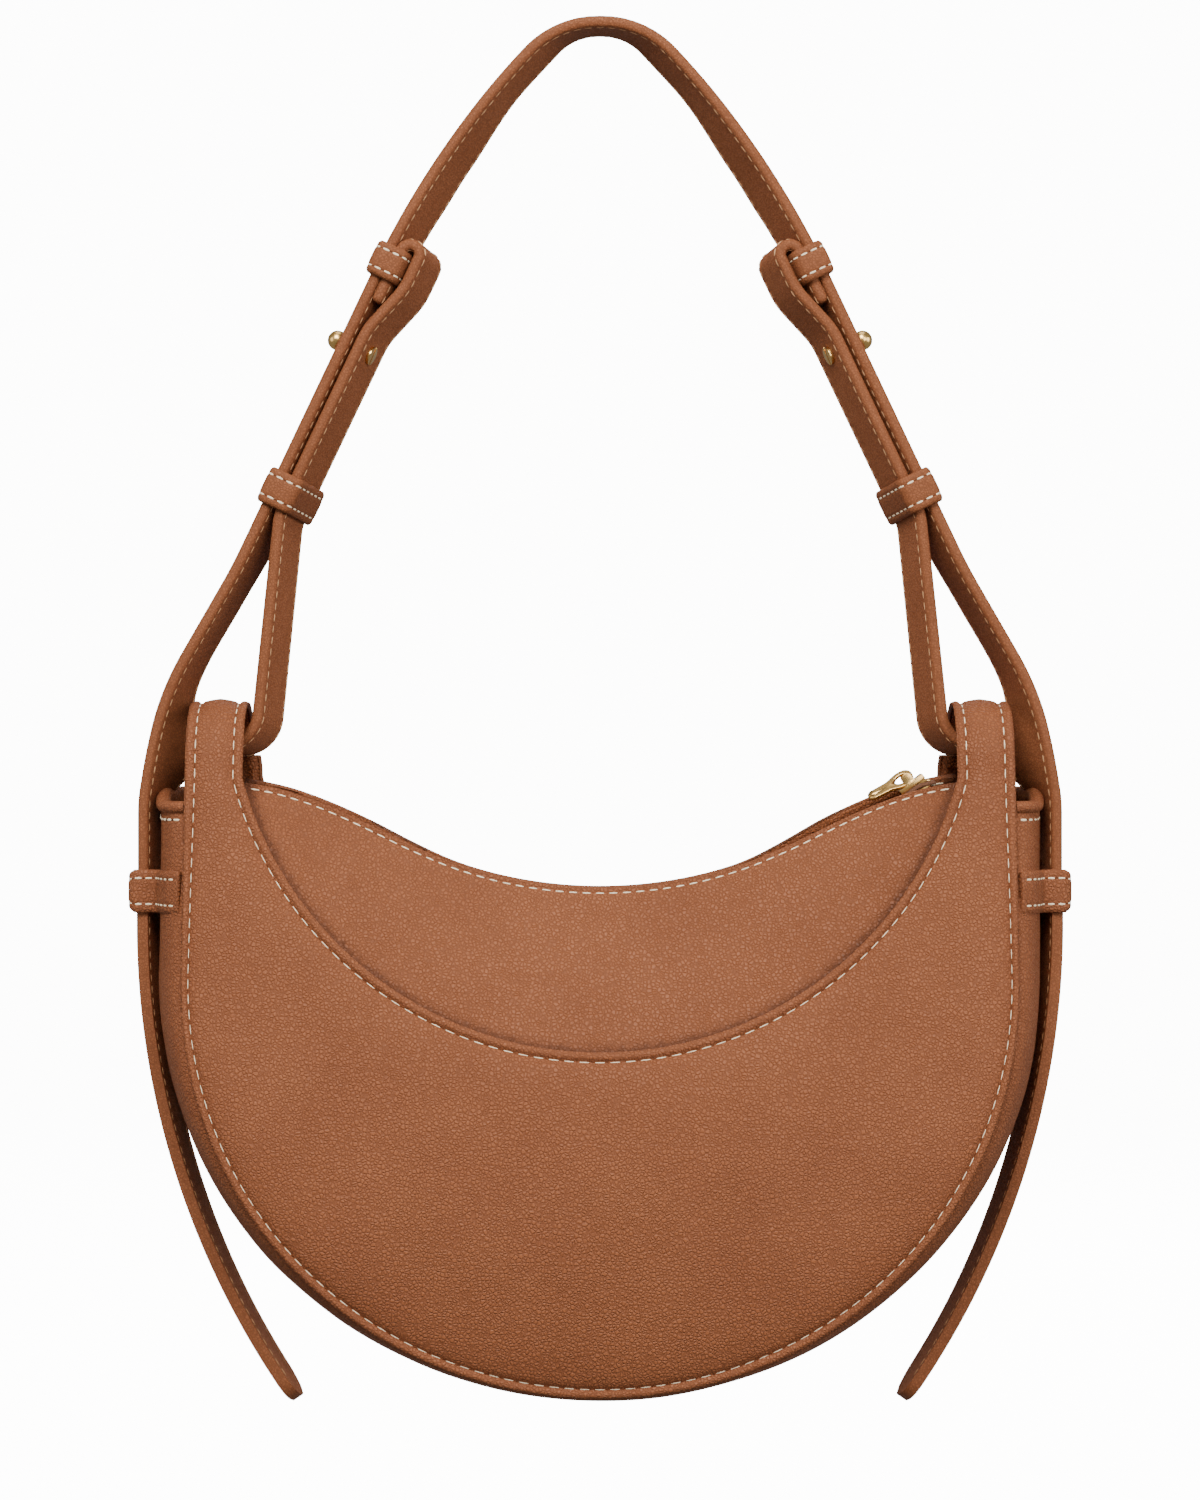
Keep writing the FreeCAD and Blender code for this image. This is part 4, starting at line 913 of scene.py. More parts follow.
class Crescent:
    """A half moon with horns, walked from the left horn's end to the right horn's end."""

    flare_top = 22 * MM
    flare_top_reach = 18 * MM
    flare_foot = 2 * MM
    flare_foot_reach = 22 * MM
    calm_reach = 12 * MM
    wave_spacing = 45 * MM
    fold_start = 20 * MM
    fold_reach = 30 * MM
    fold_flatter_share = 0.15
    seam_margin_share = 0.002
    horn_seam_start_share = 0.02
    horn_seam_reach_share = 0.6

    def __init__(self, profile, end, facing):
        self.profile = profile
        self.end = end
        self.facing = facing
        self.meet = SCOOP_CENTRE - math.sqrt(SCOOP_RADIUS ** 2 - HORN_INNER ** 2)
        self.drop = self.meet - ROUND_CENTRE
        self.half_angle = math.asin(HORN_INNER / SCOOP_RADIUS)
        horn = end - self.meet
        outer = 2 * self.drop + math.pi * HALF_WIDTH
        inner = 2 * self.half_angle * SCOOP_RADIUS
        self.horn_share = horn / (2 * horn + (outer + inner) / 2)
        self.outer = outer

    def edges(self, u):
        """Points on the outer and inner edges, as (x, level)."""
        if u > 0.5:
            return [Vector((-p.x, p.y)) for p in self.edges(1 - u)]
        if u < self.horn_share:
            level = self.end + (self.meet - self.end) * u / self.horn_share
            return [Vector((-HALF_WIDTH, level)), Vector((-HORN_INNER + self.flare(level), level))]
        share = (u - self.horn_share) / (1 - 2 * self.horn_share)
        walked = share * self.outer
        if walked < self.drop:
            outer = Vector((-HALF_WIDTH, self.meet - walked))
        else:
            angle = (walked - self.drop) / HALF_WIDTH
            outer = Vector((-HALF_WIDTH * math.cos(angle), ROUND_CENTRE - HALF_WIDTH * math.sin(angle)))
        turn = self.half_angle * (2 * share - 1)
        inner = Vector((SCOOP_RADIUS * math.sin(turn), SCOOP_CENTRE - SCOOP_RADIUS * math.cos(turn)))
        return [outer, inner + Vector((self.flare(inner.y), 0))]

    def flare(self, level):
        """How far the back horns widen towards the middle above the mouth's shoulders."""
        if self.facing > 0:
            return 0.0
        over = level - MOUTH_SHOULDER
        begun = ease((self.flare_top - over) / self.flare_top_reach)
        ended = ease((-over - self.flare_foot) / self.flare_foot_reach)
        return HORN_FLARE * begun * (1 - ended)

    def base(self, u, w):
        outer, inner = self.edges(u)
        spot = outer.lerp(inner, w)
        depth, height = self.profile(spot.y)
        return Vector((spot.x, depth, height))

    def width(self, u):
        outer, inner = self.edges(u)
        return (inner - outer).length

    def out(self, u, w):
        return surface_normal(self.base, u, w) * self.facing

    def at(self, u, edge):
        """Point on the padded face at a distance from the outer edge."""
        width = self.width(u)
        w = edge / width
        point = self.base(u, w)
        shape = bpy.context.scene.bag_shape
        near = min(edge, width - edge)
        calm = min(near / self.calm_reach, 1)
        fold = ease((self.edges(u)[0].y - TOUCH_LEVEL + self.fold_start) / self.fold_reach)
        lift = quilted(near) * (1 - self.fold_flatter_share * fold) - FOLD_SINK * fold
        lift += calm * waves(point, shape.unevenness, self.wave_spacing)
        return point + self.out(u, w) * lift

    def place(self, u, v):
        return self.at(u, step_across(v, CRESCENT_COLUMNS, self.width(u)))

    def seam(self, from_inner):
        """Line of stitches beside the outer or the inner edge."""
        inset = bpy.context.scene.bag_shape.seam_inset

        def line(t):
            u = self.seam_margin_share + (1 - 2 * self.seam_margin_share) * t
            width = self.width(u)
            edge = width - inset if from_inner else inset
            return self.at(u, edge), self.out(u, edge / width)
        return line

    def horn_seam(self, mirror):
        """Stitches that come through on the inside of a horn, beside its inner edge."""
        inset = bpy.context.scene.bag_shape.seam_inset

        def line(t):
            u = self.horn_share * (self.horn_seam_start_share + self.horn_seam_reach_share * t)
            if mirror:
                u = 1 - u
            edge = self.width(u) - inset / 2
            out = self.out(u, edge / self.width(u))
            return self.at(u, edge) - out * LEATHER, -out
        return line


class BAG_OT_crescents(bpy.types.Operator):
    """Front and back crescent panels with their stitches"""

    bl_idname = "bag.crescents"
    bl_label = "Crescents"

    def execute(self, context):
        shape = context.scene.bag_shape
        pitch = context.scene.bag_thread.pitch
        close_pitch = pitch * CLOSE_PITCH_SHARE
        for name, profile, end, facing in (("front", front_profile, FRONT_END, 1),
                                           ("back", back_profile, BACK_END, -1)):
            crescent = Crescent(profile, end, facing)
            panel = grid_piece(f"{name}_crescent_panel", CRESCENT_ROWS, CRESCENT_COLUMNS, crescent.place)
            if facing < 0:
                panel.data.flip_normals()
            thicken(panel, LEATHER, -1, shape.edge_round)
            dress(panel, panel_leather(), "bag")
            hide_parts(f"{name}_crescent")
            seam = Seam()
            seam.row(crescent.seam(False), pitch)
            seam.row(crescent.seam(True), pitch)
            if facing < 0:
                for mirror in (False, True):
                    seam.row(crescent.horn_seam(mirror), close_pitch)
            seam.sew(f"{name}_crescent_stitches", cream_thread(), "bag")
        return {"FINISHED"}


class Yoke:
    """Panel between the zip's mouth and the crescent's scoop."""

    rows = 150
    columns = 34
    crowding = 1.45
    left_rise_share = 0.4
    rise_start_share = 0.36
    rise_reach_share = 0.3
    swell = 1.2 * MM
    swell_skew = 1.15
    swell_power = 1.5
    calm_reach = 14 * MM
    calm_slope = 4
    wave_spacing = 40 * MM
    seam_shares = (0.012, 0.988)
    inner_seam_inset = 1.3 * MM
    inner_seam_shares = ((0.012, 0.17), (0.955, 0.988))

    def __init__(self, facing):
        self.facing = facing

    def edges(self, x):
        share = min(abs(x) / MOUTH_HALF, 1)
        rise = smooth_table(MOUTH_PLACE_SHARES, MOUTH_RISE_SHARES, share)
        high = MOUTH_SHOULDER - MOUTH_DIP * (1 - rise)
        if self.facing > 0:
            stand = FACING_RISE if x > 0 else FACING_RISE * self.left_rise_share
            start, reach = self.rise_start_share * MOUTH_HALF, self.rise_reach_share * MOUTH_HALF
            high += stand * ease((abs(x) - start) / reach)
        radius = SCOOP_RADIUS + YOKE_LAP
        low = SCOOP_CENTRE - math.sqrt(radius ** 2 - x ** 2)
        return high, low

    def base(self, u, w):
        x = (2 * u - 1) * MOUTH_HALF
        high, low = self.edges(x)
        low_depth = front_depth(low, INSIDE) if self.facing < 0 else back_depth(low, INSIDE)
        depth = MOUTH_HALF_GAP + (low_depth - MOUTH_HALF_GAP) * w
        return Vector((x, self.facing * depth, high + (low - high) * w))

    def out(self, u, w):
        return surface_normal(self.base, u, w) * self.facing

    def at(self, u, w):
        shape = bpy.context.scene.bag_shape
        point = self.base(u, w)
        high, low = self.edges(point.x)
        edge = w * (high - low)
        groove = shape.groove * math.exp(-((edge - MOUTH_SEAM) / GROOVE_REACH) ** 2)
        puff = self.swell * math.sin(math.pi * min(w * self.swell_skew, 1)) ** self.swell_power
        calm = min(edge / self.calm_reach, 1) * min((1 - w) * self.calm_slope, 1)
        lift = puff - groove + calm * waves(point, shape.unevenness, self.wave_spacing)
        return point + self.out(u, w) * lift

    def place(self, u, v):
        return self.at(u, v ** self.crowding)

    def seam(self, inset, shares, inside=False):
        """Line of stitches below the mouth's edge, on the outer or the inner face."""
        first, last = shares

        def line(t):
            u = first + (last - first) * t
            high, low = self.edges((2 * u - 1) * MOUTH_HALF)
            w = inset / (high - low)
            out = self.out(u, w)
            if inside:
                return self.at(u, w) - out * LEATHER, -out
            return self.at(u, w), out
        return line


class BAG_OT_yokes(bpy.types.Operator):
    """Front and back yokes with the row of stitches along the mouth"""

    bl_idname = "bag.yokes"
    bl_label = "Yokes"

    def execute(self, context):
        shape = context.scene.bag_shape
        for name, facing in (("front", -1), ("back", 1)):
            yoke = Yoke(facing)
            panel = grid_piece(f"{name}_yoke_panel", yoke.rows, yoke.columns, yoke.place)
            if facing < 0:
                panel.data.flip_normals()
            thicken(panel, LEATHER, -1, shape.edge_round * YOKE_ROUND_SHARE)
            dress(panel, yoke_leather(), "bag")
            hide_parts(f"{name}_yoke")
            seam = Seam()
            pitch = context.scene.bag_thread.pitch * CLOSE_PITCH_SHARE
            seam.row(yoke.seam(MOUTH_SEAM, yoke.seam_shares), pitch)
            if facing > 0:
                for shares in yoke.inner_seam_shares:
                    seam.row(yoke.seam(yoke.inner_seam_inset, shares, True), pitch)
            seam.sew(f"{name}_yoke_stitches", cream_thread(), "bag")
        return {"FINISHED"}


class Gusset:
    """Strip round the bag's edge that swells out between the two panels."""

    rows = 260
    columns = 26
    straight = GUSSET_TOP - ROUND_CENTRE
    length = 2 * straight + math.pi * HALF_WIDTH
    flatter_share = 0.55
    rise_reach = 18 * MM
    behind_start_share = 0.3
    behind_reach_share = 0.25
    crease_height = 0.32 * MM
    crease_spacing = 38 * MM
    creases_across = 14
    wave_height = 0.6 * MM
    wave_spacing = 30 * MM

    def path(self, u):
        """Point on the panels' edge and the way out of it, as (x, z)."""
        if u > 0.5:
            point, out = self.path(1 - u)
            return Vector((-point.x, point.y)), Vector((-out.x, out.y))
        walked = u * self.length
        if walked < self.straight:
            return Vector((-HALF_WIDTH, GUSSET_TOP - walked)), Vector((-1, 0))
        angle = (walked - self.straight) / HALF_WIDTH
        out = Vector((-math.cos(angle), -math.sin(angle)))
        return Vector((0, ROUND_CENTRE)) + out * HALF_WIDTH, out

    def section(self, level, w, fullness=1.0):
        """Reach past the panels' edge with the depth, and the way out of the strip, at a level."""
        front, back = -front_depth(level, INSIDE), back_depth(level, INSIDE)
        half = (back - front) / 2
        rise = (GUSSET_OUT - HALF_WIDTH + GUSSET_TUCK + GUSSET_PUFF) * fullness
        turn = math.pi * w
        spot = Vector((rise * math.sin(turn) - GUSSET_TUCK, (front + back) / 2 - half * math.cos(turn)))
        return spot, Vector((half * math.sin(turn), -rise * math.cos(turn))).normalized()

    def base(self, u, w):
        point, out = self.path(u)
        (swell, depth), _ = self.section(point.y, w, 1 - self.flatter_share * out.y ** 2)
        spot = point + out * swell
        fade = max(1 - min(u, 1 - u) * self.length / self.rise_reach, 0)
        return Vector((spot.x, depth, spot.y + GUSSET_RISE * fade * self.behind(w)))

    def behind(self, w):
        """Share from 0 on the front part of the strip to 1 on the back part."""
        return ease((w - self.behind_start_share) / self.behind_reach_share)

    def out(self, u, w):
        return surface_normal(self.base, u, w)

    def place(self, u, v):
        point = self.base(u, v)
        calm = math.sin(math.pi * v) ** 2
        spot = Vector((v * self.creases_across, u * self.length / self.crease_spacing, 0))
        crease = self.crease_height * noise.noise(spot)
        wave = waves(point, self.wave_height, self.wave_spacing)
        return point + self.out(u, v) * calm * (wave + crease)


class BAG_OT_gusset(bpy.types.Operator):
    """Gusset, the rolled bindings at its two ends and their stitches"""

    bl_idname = "bag.gusset"
    bl_label = "Gusset"
    roll_rows = 48
    roll_columns = 20
    roll_margin_share = 0.03
    roll_front_share = 0.62
    roll_lift = 0.9
    seam_margin_share = 0.06
    seam_drop = 2.4 * MM

    def execute(self, context):
        shape = context.scene.bag_shape
        gusset = Gusset()
        strip = grid_piece("gusset_strip", gusset.rows, gusset.columns, gusset.place)
        if strip.data.polygons[len(strip.data.polygons) // 2].normal.z > 0:
            strip.data.flip_normals()
        thicken(strip, LEATHER, -1, shape.edge_round * GUSSET_ROUND_SHARE)
        dress(strip, panel_leather(), "bag")
        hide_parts("gusset")
        for name, side in SIDES:
            end = 0 if side < 0 else 1

            def roll(u, v):
                w = self.roll_margin_share + (1 - 2 * self.roll_margin_share) * u
                spot = gusset.base(end, w)
                _, (reach, depth) = gusset.section(GUSSET_TOP, w)
                out = Vector((side * reach, depth, 0))
                angle = 2 * math.pi * v
                centre = spot - out * LEATHER / 2
                full = self.roll_front_share + (1 - self.roll_front_share) * gusset.behind(w)
                rise = COLLAR_RADIUS * full * (self.roll_lift + math.sin(angle))
                return centre + out * COLLAR_HALF_THICK * math.cos(angle) + Vector((0, 0, rise))
            binding = grid_piece(f"{name}_gusset_roll", self.roll_rows, self.roll_columns, roll)
            close_mesh(binding)
            only(binding)
            bpy.ops.object.mode_set(mode="EDIT")
            bpy.ops.mesh.select_all(action="SELECT")
            bpy.ops.mesh.fill_holes(sides=0)
            bpy.ops.mesh.normals_make_consistent(inside=False)
            bpy.ops.object.mode_set(mode="OBJECT")
            bpy.ops.object.shade_smooth_by_angle(angle=SHARP_ANGLE)
            dress(binding, panel_leather(), "bag")
            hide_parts(f"{name}_gusset_binding")
            seam = Seam()

            def below(t):
                w = self.seam_margin_share + (1 - 2 * self.seam_margin_share) * t
                drop = self.seam_drop / gusset.length
                spot = gusset.base(drop if side < 0 else 1 - drop, w)
                _, (reach, depth) = gusset.section(GUSSET_TOP, w)
                return spot, Vector((side * reach, depth, 0))
            seam.row(below, context.scene.bag_thread.keeper_pitch)
            seam.sew(f"{name}_gusset_stitches", cream_thread(), "bag")
        return {"FINISHED"}


LOOP_ROWS = (0.2, 0.8)
LOOP_ALONG = 110
LOOP_ACROSS = 24


class SideLoop:
    """Band sewn to the gusset that goes round the hanging strap."""

    corner = 3.4 * MM
    foot_shares = (0.06, 0.16, 0.26)
    foot_bend = 9 * MM
    wall_share = 0.8
    outer = SIDE_X + THICK / 2 + LOOP_PLAY + LOOP_WALL
    narrower_share = 0.1
    narrow_start = 2.2 * MM
    narrow_reach = 2 * MM
    seam_shares = (0.02, 0.98)

    def __init__(self, side):
        self.side = side
        hole_half = HALF_STRAP + LOOP_PLAY / 2
        wall_half = hole_half + LOOP_WALL
        gusset = Gusset()
        half = back_depth(LOOP_MIDDLE, INSIDE)
        shares = (*self.foot_shares, math.acos(wall_half / half) / math.pi)
        foot = []
        for share in shares:
            (reach, depth), out = gusset.section(LOOP_MIDDLE, share)
            foot.append(Vector((HALF_WIDTH + reach, depth)) + out * LOOP_WALL * self.wall_share)
        foot[-1].y = -wall_half
        bends = (0, *[self.foot_bend] * (len(foot) - 2), LOOP_WALL)
        front = list(zip(foot, bends)) + [(Vector((self.outer, -wall_half)), self.corner)]
        back = [(Vector((point.x, -point.y)), bend) for point, bend in reversed(front)]
        self.route = Route(front + back)
        self.stops = self.route.stops()

    def base(self, u, w):
        flat = self.route.at(*leg_and_share(self.stops, u * self.stops[-1]))
        near_outer = ease((flat.x - self.outer + self.narrow_start) / self.narrow_reach)
        narrow = 1 - self.narrower_share * near_outer
        return Vector((self.side * flat.x, flat.y, LOOP_MIDDLE + (w - 0.5) * LOOP_HEIGHT * narrow))

    def out(self, u, w):
        return surface_normal(self.base, u, w) * self.side

    def place(self, u, w):
        return self.base(u, w) + self.out(u, w) * rimmed(w, LOOP_ROWS)

    def row(self, height_share):
        """Line of stitches round the loop, at a share of its height."""
        first, last = self.seam_shares

        def line(t):
            u = first + (last - first) * t
            return self.place(u, height_share), self.out(u, height_share)
        return line


class BAG_OT_side_loops(bpy.types.Operator):
    """Loops on the gusset that hold the straps, with their stitches"""

    bl_idname = "bag.side_loops"
    bl_label = "Side loops"

    def execute(self, context):
        shape = context.scene.bag_shape
        pitch = context.scene.bag_thread.keeper_pitch * CLOSE_PITCH_SHARE
        for name, side in SIDES:
            loop = SideLoop(side)
            band = grid_piece(f"{name}_side_loop_band", LOOP_ALONG, LOOP_ACROSS, loop.place)
            if side < 0:
                band.data.flip_normals()
            thicken(band, LOOP_WALL * loop.wall_share, -1, shape.edge_round * LOOP_ROUND_SHARE)
            dress(band, panel_leather(), "bag")
            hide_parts(f"{name}_side_loop")
            seam = Seam()
            for share in LOOP_ROWS:
                seam.row(loop.row(share), pitch)
            seam.sew(f"{name}_side_loop_stitches", cream_thread(), "bag")
        return {"FINISHED"}


# Straps.
STITCH_SHARES = (0.11, 0.89)
STRAP_THREAD_SHARE = 0.8
STRAP_COLUMNS = 10
STRAP_ROW_LENGTH = 2 * MM
TIP_SHARE = 0.12
HIDDEN_END = 9 * MM


def band_grid(name, band, start, stop, tip=False):
    """Strap leather along a band between two distances, with a round tip if asked."""
    rows = int((stop - start) / STRAP_ROW_LENGTH)

    def place(u, v):
        distance = start + (stop - start) * u
        share = v
        if tip:
            left = max(stop - distance, 0)
            if left < HALF_STRAP:
                narrow = math.sqrt(max(HALF_STRAP ** 2 - (HALF_STRAP - left) ** 2, 0)) / HALF_STRAP
                share = 0.5 + (v - 0.5) * max(narrow, TIP_SHARE)
        return band.middle(distance, share)
    piece = grid_piece(name, rows, STRAP_COLUMNS, place)
    # The broad faces take the brightened copy, which is painted light; the rims take the plain strap
    # leather.
    piece.data.materials.append(strap_face_leather_painted_light())
    piece.data.materials.append(strap_leather())
    thicken(piece, SOFT_THICK, 0, bpy.context.scene.bag_shape.strap_round, rim_slot=1)
    return piece


def band_stitches(seam, band, start, stop):
    """Rows of stitches near both edges of a strap, on both faces."""
    pitch = bpy.context.scene.bag_thread.keeper_pitch
    width = bpy.context.scene.bag_thread.width * STRAP_THREAD_SHARE
    for share in STITCH_SHARES:
        for face in (1, -1):
            def line(t, share=share, face=face):
                distance = start + (stop - start) * t
                out = band.out(distance, share) * face
                return band.middle(distance, share) + out * (SOFT_THICK / 2), out
            seam.row(line, pitch, width=width, holes=False)


class LongBand(Band):
    """Long strap, whose back edge draws in beside the horns."""

    draw_in = 5 * MM
    reach_above = 22 * MM
    draw_foot = 11 * MM
    draw_foot_reach = 9 * MM
    toe_reach = 12 * MM
    tuck_in = 4.2 * MM
    tuck_level = HINGE_LEVEL - 4.5 * MM
    tuck_reach_above = 19 * MM
    tuck_reach_below = 8 * MM
    turn_levels = (-235 * MM, -200 * MM, -165 * MM, -80 * MM, -68 * MM, -58 * MM, -45 * MM, -18 * MM, 0)
    turn_shares = (0, 0.7, 1, 1, 1.45, 1.65, 1.45, 0, 0)

    def turned_in(self, level):
        """Extra turn of the strap's back edge towards the middle, at a level above the horns."""
        levels = self.turn_levels
        if level <= levels[0] or level >= levels[-1]:
            return 0.0
        k = bisect.bisect_right(levels, level) - 1
        share = ease((level - levels[k]) / (levels[k + 1] - levels[k]))
        before, after = self.turn_shares[k:k + 2]
        return MORE_TOE_IN * (before + (after - before) * share)

    def middle(self, distance, v):
        point = super().middle(distance, v)
        if abs(point.x) > HORN_INNER:
            over = point.z - HINGE_LEVEL
            if over > 0:
                share = math.exp(-(over / self.reach_above) ** 2)
            else:
                share = 1 - ease((-over - self.draw_foot) / self.draw_foot_reach)
            low = ease((HINGE_LEVEL + self.toe_reach - point.z) / self.toe_reach)
            rise = point.z - self.tuck_level
            reach = self.tuck_reach_above if rise > 0 else self.tuck_reach_below
            tuck = self.tuck_in * math.exp(-(rise / reach) ** 2)
            shift = (self.draw_in * share + LOW_TOE_IN * low + tuck) * v
            point.x -= math.copysign(shift, point.x)
        turn = inward(LEG_WAY) * self.turned_in(point.z) * v
        return point + Vector((-math.copysign(turn.x, point.x), 0, turn.y))


def long_band():
    """The strap from the left side loop over the top to the right one."""
    edges = []
    for shift in (0, TOE_IN):
        end = (Vector((-SIDE_X, LOOP_MIDDLE)), 0)
        left = [end] + list(reversed(strap_corners(shift)))
        right = [(Vector((-point.x, point.y)), bend) for point, bend in reversed(left)]
        edges.append(left + right)
    return LongBand(*edges)


class BAG_OT_long_strap(bpy.types.Operator):
    """Strap from one side loop over the top to the other, bent near the level where the bag swings"""

    bl_idname = "bag.long_strap"
    bl_label = "Long strap"

    def execute(self, context):
        band = long_band()
        strap = band_grid("long_strap", band, 0, band.length)
        dress(strap, None, None)
        seam = Seam()
        band_stitches(seam, band, 0, band.length)
        stitches = seam.sew("long_strap_stitches", brown_thread(), None)
        for piece in (strap, stitches):
            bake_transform(piece)
        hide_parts("shoulder_strap", "left_strap_drop", "right_strap_drop")
        return {"FINISHED"}


def tail_band(side):
    """The free end of the strap, from the middle of a side loop to its tip."""
    start = Vector((-SIDE_X, LOOP_MIDDLE))
    pivot = Vector((-SIDE_X, TAIL_PIVOT))
    reach = TAIL_RADIUS * math.tan(TAIL_TURN / 2)
    corner = pivot - Vector((0, reach + THICK / 2))
    end = corner + Vector((math.sin(TAIL_TURN), -math.cos(TAIL_TURN))) * (reach + THICK)
    turned = Vector((LOW_TOE_IN, 0))
    front = [(start, 0), (corner, TAIL_RADIUS), (end, 0)]
    back = [(start + turned, 0), (corner + turned, TAIL_RADIUS), (end, 0)]
    return Band(front, back, side)


class BAG_OT_tails(bpy.types.Operator):
    """Free ends of the strap below the side loops"""

    bl_idname = "bag.tails"
    bl_label = "Tails"

    def execute(self, context):
        for name, side in SIDES:
            band = tail_band(side)
            tail = band_grid(f"{name}_tail", band, 0, band.length, tip=True)
            dress(tail, None, None)
            seam = Seam()
            band_stitches(seam, band, 0, band.length - HALF_STRAP)
            stitches = seam.sew(f"{name}_tail_stitches", brown_thread(), None)
            for piece in (tail, stitches):
                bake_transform(piece)
            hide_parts(f"{name}_strap_tail")
        return {"FINISHED"}


class BAG_OT_lower_straps(bpy.types.Operator):
    """Short straps that leave the horns, double the long strap and turn over the upper keepers"""

    bl_idname = "bag.lower_straps"
    bl_label = "Lower straps"

    def execute(self, context):
        for name, side in SIDES:
            band = Band(lower_corners(0), lower_corners(TOE_IN + MORE_TOE_IN), side)
            stop = band.length - HIDDEN_END
            strap = band_grid(f"{name}_doubling_strap", band, 0, stop)
            dress(strap, None, "strap")
            seam = Seam()
            band_stitches(seam, band, 0, stop)
            seam.sew(f"{name}_doubling_stitches", brown_thread(), "strap")
            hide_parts(f"{name}_lower_strap")
        return {"FINISHED"}


RIM_DROP = 1.0 * MM
RIM_POWER = 7
ROW_DIP = 0.28 * MM
ROW_DIP_SHARE = 0.05


def rimmed(w, rows):
    """Height of a loop's leather over its breadth: rounded rims and a dip at each row of stitches."""
    dip = sum(math.exp(-((w - row) / ROW_DIP_SHARE) ** 2) for row in rows)
    return -RIM_DROP * abs(2 * w - 1) ** RIM_POWER - ROW_DIP * dip


KEEPER_ROWS = (0.21, 0.79)
KEEPER_ALONG = 96
KEEPER_ACROSS = 24


class Keeper:
    """Leather loop round the doubled straps, slanted as they are."""

    corner = 3.4 * MM

    def __init__(self, side, place, inner_face, height):
        self.side = side
        self.height = height
        self.origin = LEG_TOP + LEG_WAY * place
        grow = KEEPER_PLAY + KEEPER_WALL
        deep = HALF_STRAP + grow
        spots = []
        for y, across in ((deep, inner_face / 2), (deep, -THICK / 2 - grow), (-deep, -THICK / 2 - grow),
                          (-deep, inner_face + grow), (deep, inner_face + grow), (deep, inner_face / 2)):
            slant = (TOE_IN + MORE_TOE_IN) * (y + HALF_STRAP) / (2 * HALF_STRAP)
            spots.append(Vector((across + slant, y)))
        self.route = Route([(spots[0], 0)] + [(p, self.corner) for p in spots[1:-1]] + [(spots[-1], 0)])
        self.stops = self.route.stops()

    def base(self, u, w):
        flat = self.route.at(*leg_and_share(self.stops, u * self.stops[-1]))
        spot = self.origin - LEG_WAY * ((w - 0.5) * self.height) + inward(LEG_WAY) * flat.x
        return Vector((-self.side * spot.x, flat.y, spot.y))

    def out(self, u, w):
        return surface_normal(self.base, u, w) * -self.side

    def place(self, u, w):
        return self.base(u, w) + self.out(u, w) * rimmed(w, KEEPER_ROWS)

    def row(self, height_share):
        """Line of stitches round the keeper, at a share of its height."""
        def line(t):
            return self.place(t, height_share), self.out(t, height_share)
        return line


class BAG_OT_keepers(bpy.types.Operator):
    """Upper and lower keepers with two rows of stitches each"""

    bl_idname = "bag.keepers"
    bl_label = "Keepers"

    def execute(self, context):
        pitch = context.scene.bag_thread.keeper_pitch * CLOSE_PITCH_SHARE
        shape = context.scene.bag_shape
        stacked = THICK * 1.5 + STRAP_GAP
        doubled = THICK * 1.5 + DOUBLED_GAP
        for name, side in SIDES:
            kinds = (("upper", -UPPER_KEEPER_RISE, stacked, UPPER_KEEPER_HEIGHT, "strap"),
                     ("lower", LOWER_KEEPER_PLACE, doubled, LOWER_KEEPER_HEIGHT, f"{name}_keeper"))
            for kind, place, face, height, body in kinds:
                keeper = Keeper(side, place, face, height)
                loop = grid_piece(f"{name}_{kind}_keeper_loop", KEEPER_ALONG, KEEPER_ACROSS, keeper.place)
                if side > 0:
                    loop.data.flip_normals()
                close_mesh(loop, outwards=False)
                thicken(loop, KEEPER_WALL, -1, shape.edge_round * KEEPER_ROUND_SHARE)
                dress(loop, strap_leather(), body)
                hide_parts(f"{name}_{kind}_keeper")
                seam = Seam()
                for share in KEEPER_ROWS:
                    seam.row(keeper.row(share), pitch)
                seam.sew(f"{name}_{kind}_keeper_stitches", cream_thread(), body)
        return {"FINISHED"}


# Brass.
BRASS_ANGLE = math.radians(40)
STUD_FOOT_SHARE = 0.86
STUD_FOOT_HEIGHT = 0.9 * MM
STUD_FOOT_ROUND = 0.3 * MM
SLOT_WIDTH = 0.9 * MM
SCREW_ROUND = 0.25 * MM


def stud_matrix(side):
    """Frame at the stud: Z runs in through both straps, square to their faces."""
    spot = on_leg(STUD_PLACE, 0, TOE_IN / 2)
    across = inward(LEG_WAY)
    axis = Vector((-side * across.x, -TOE_IN / (2 * HALF_STRAP), across.y)).normalized()
    turn = axis.to_track_quat("Z", "Y").to_matrix().to_4x4()
    return Matrix.Translation((-side * spot.x, 0, spot.y)) @ turn


def set_in_place(piece, matrix):
    """Puts a piece's place into its mesh."""
    piece.data.transform(matrix)
    piece.matrix_world = Matrix.Identity(4)


def add_cylinder(vertices, radius, low, high):
    """A round bar along Z between two levels."""
    bpy.ops.object.select_all(action="DESELECT")
    bpy.ops.mesh.primitive_cylinder_add(vertices=vertices, radius=radius, depth=high - low,
                                        location=(0, 0, (high + low) / 2))
    return bpy.context.object


def join_onto(piece, others):
    """Joins other pieces into one."""
    bpy.ops.object.select_all(action="DESELECT")
    for other in others:
        other.select_set(True)
    piece.select_set(True)
    bpy.context.view_layer.objects.active = piece
    bpy.ops.object.join()
    bpy.ops.object.transform_apply(location=True, rotation=True, scale=True)


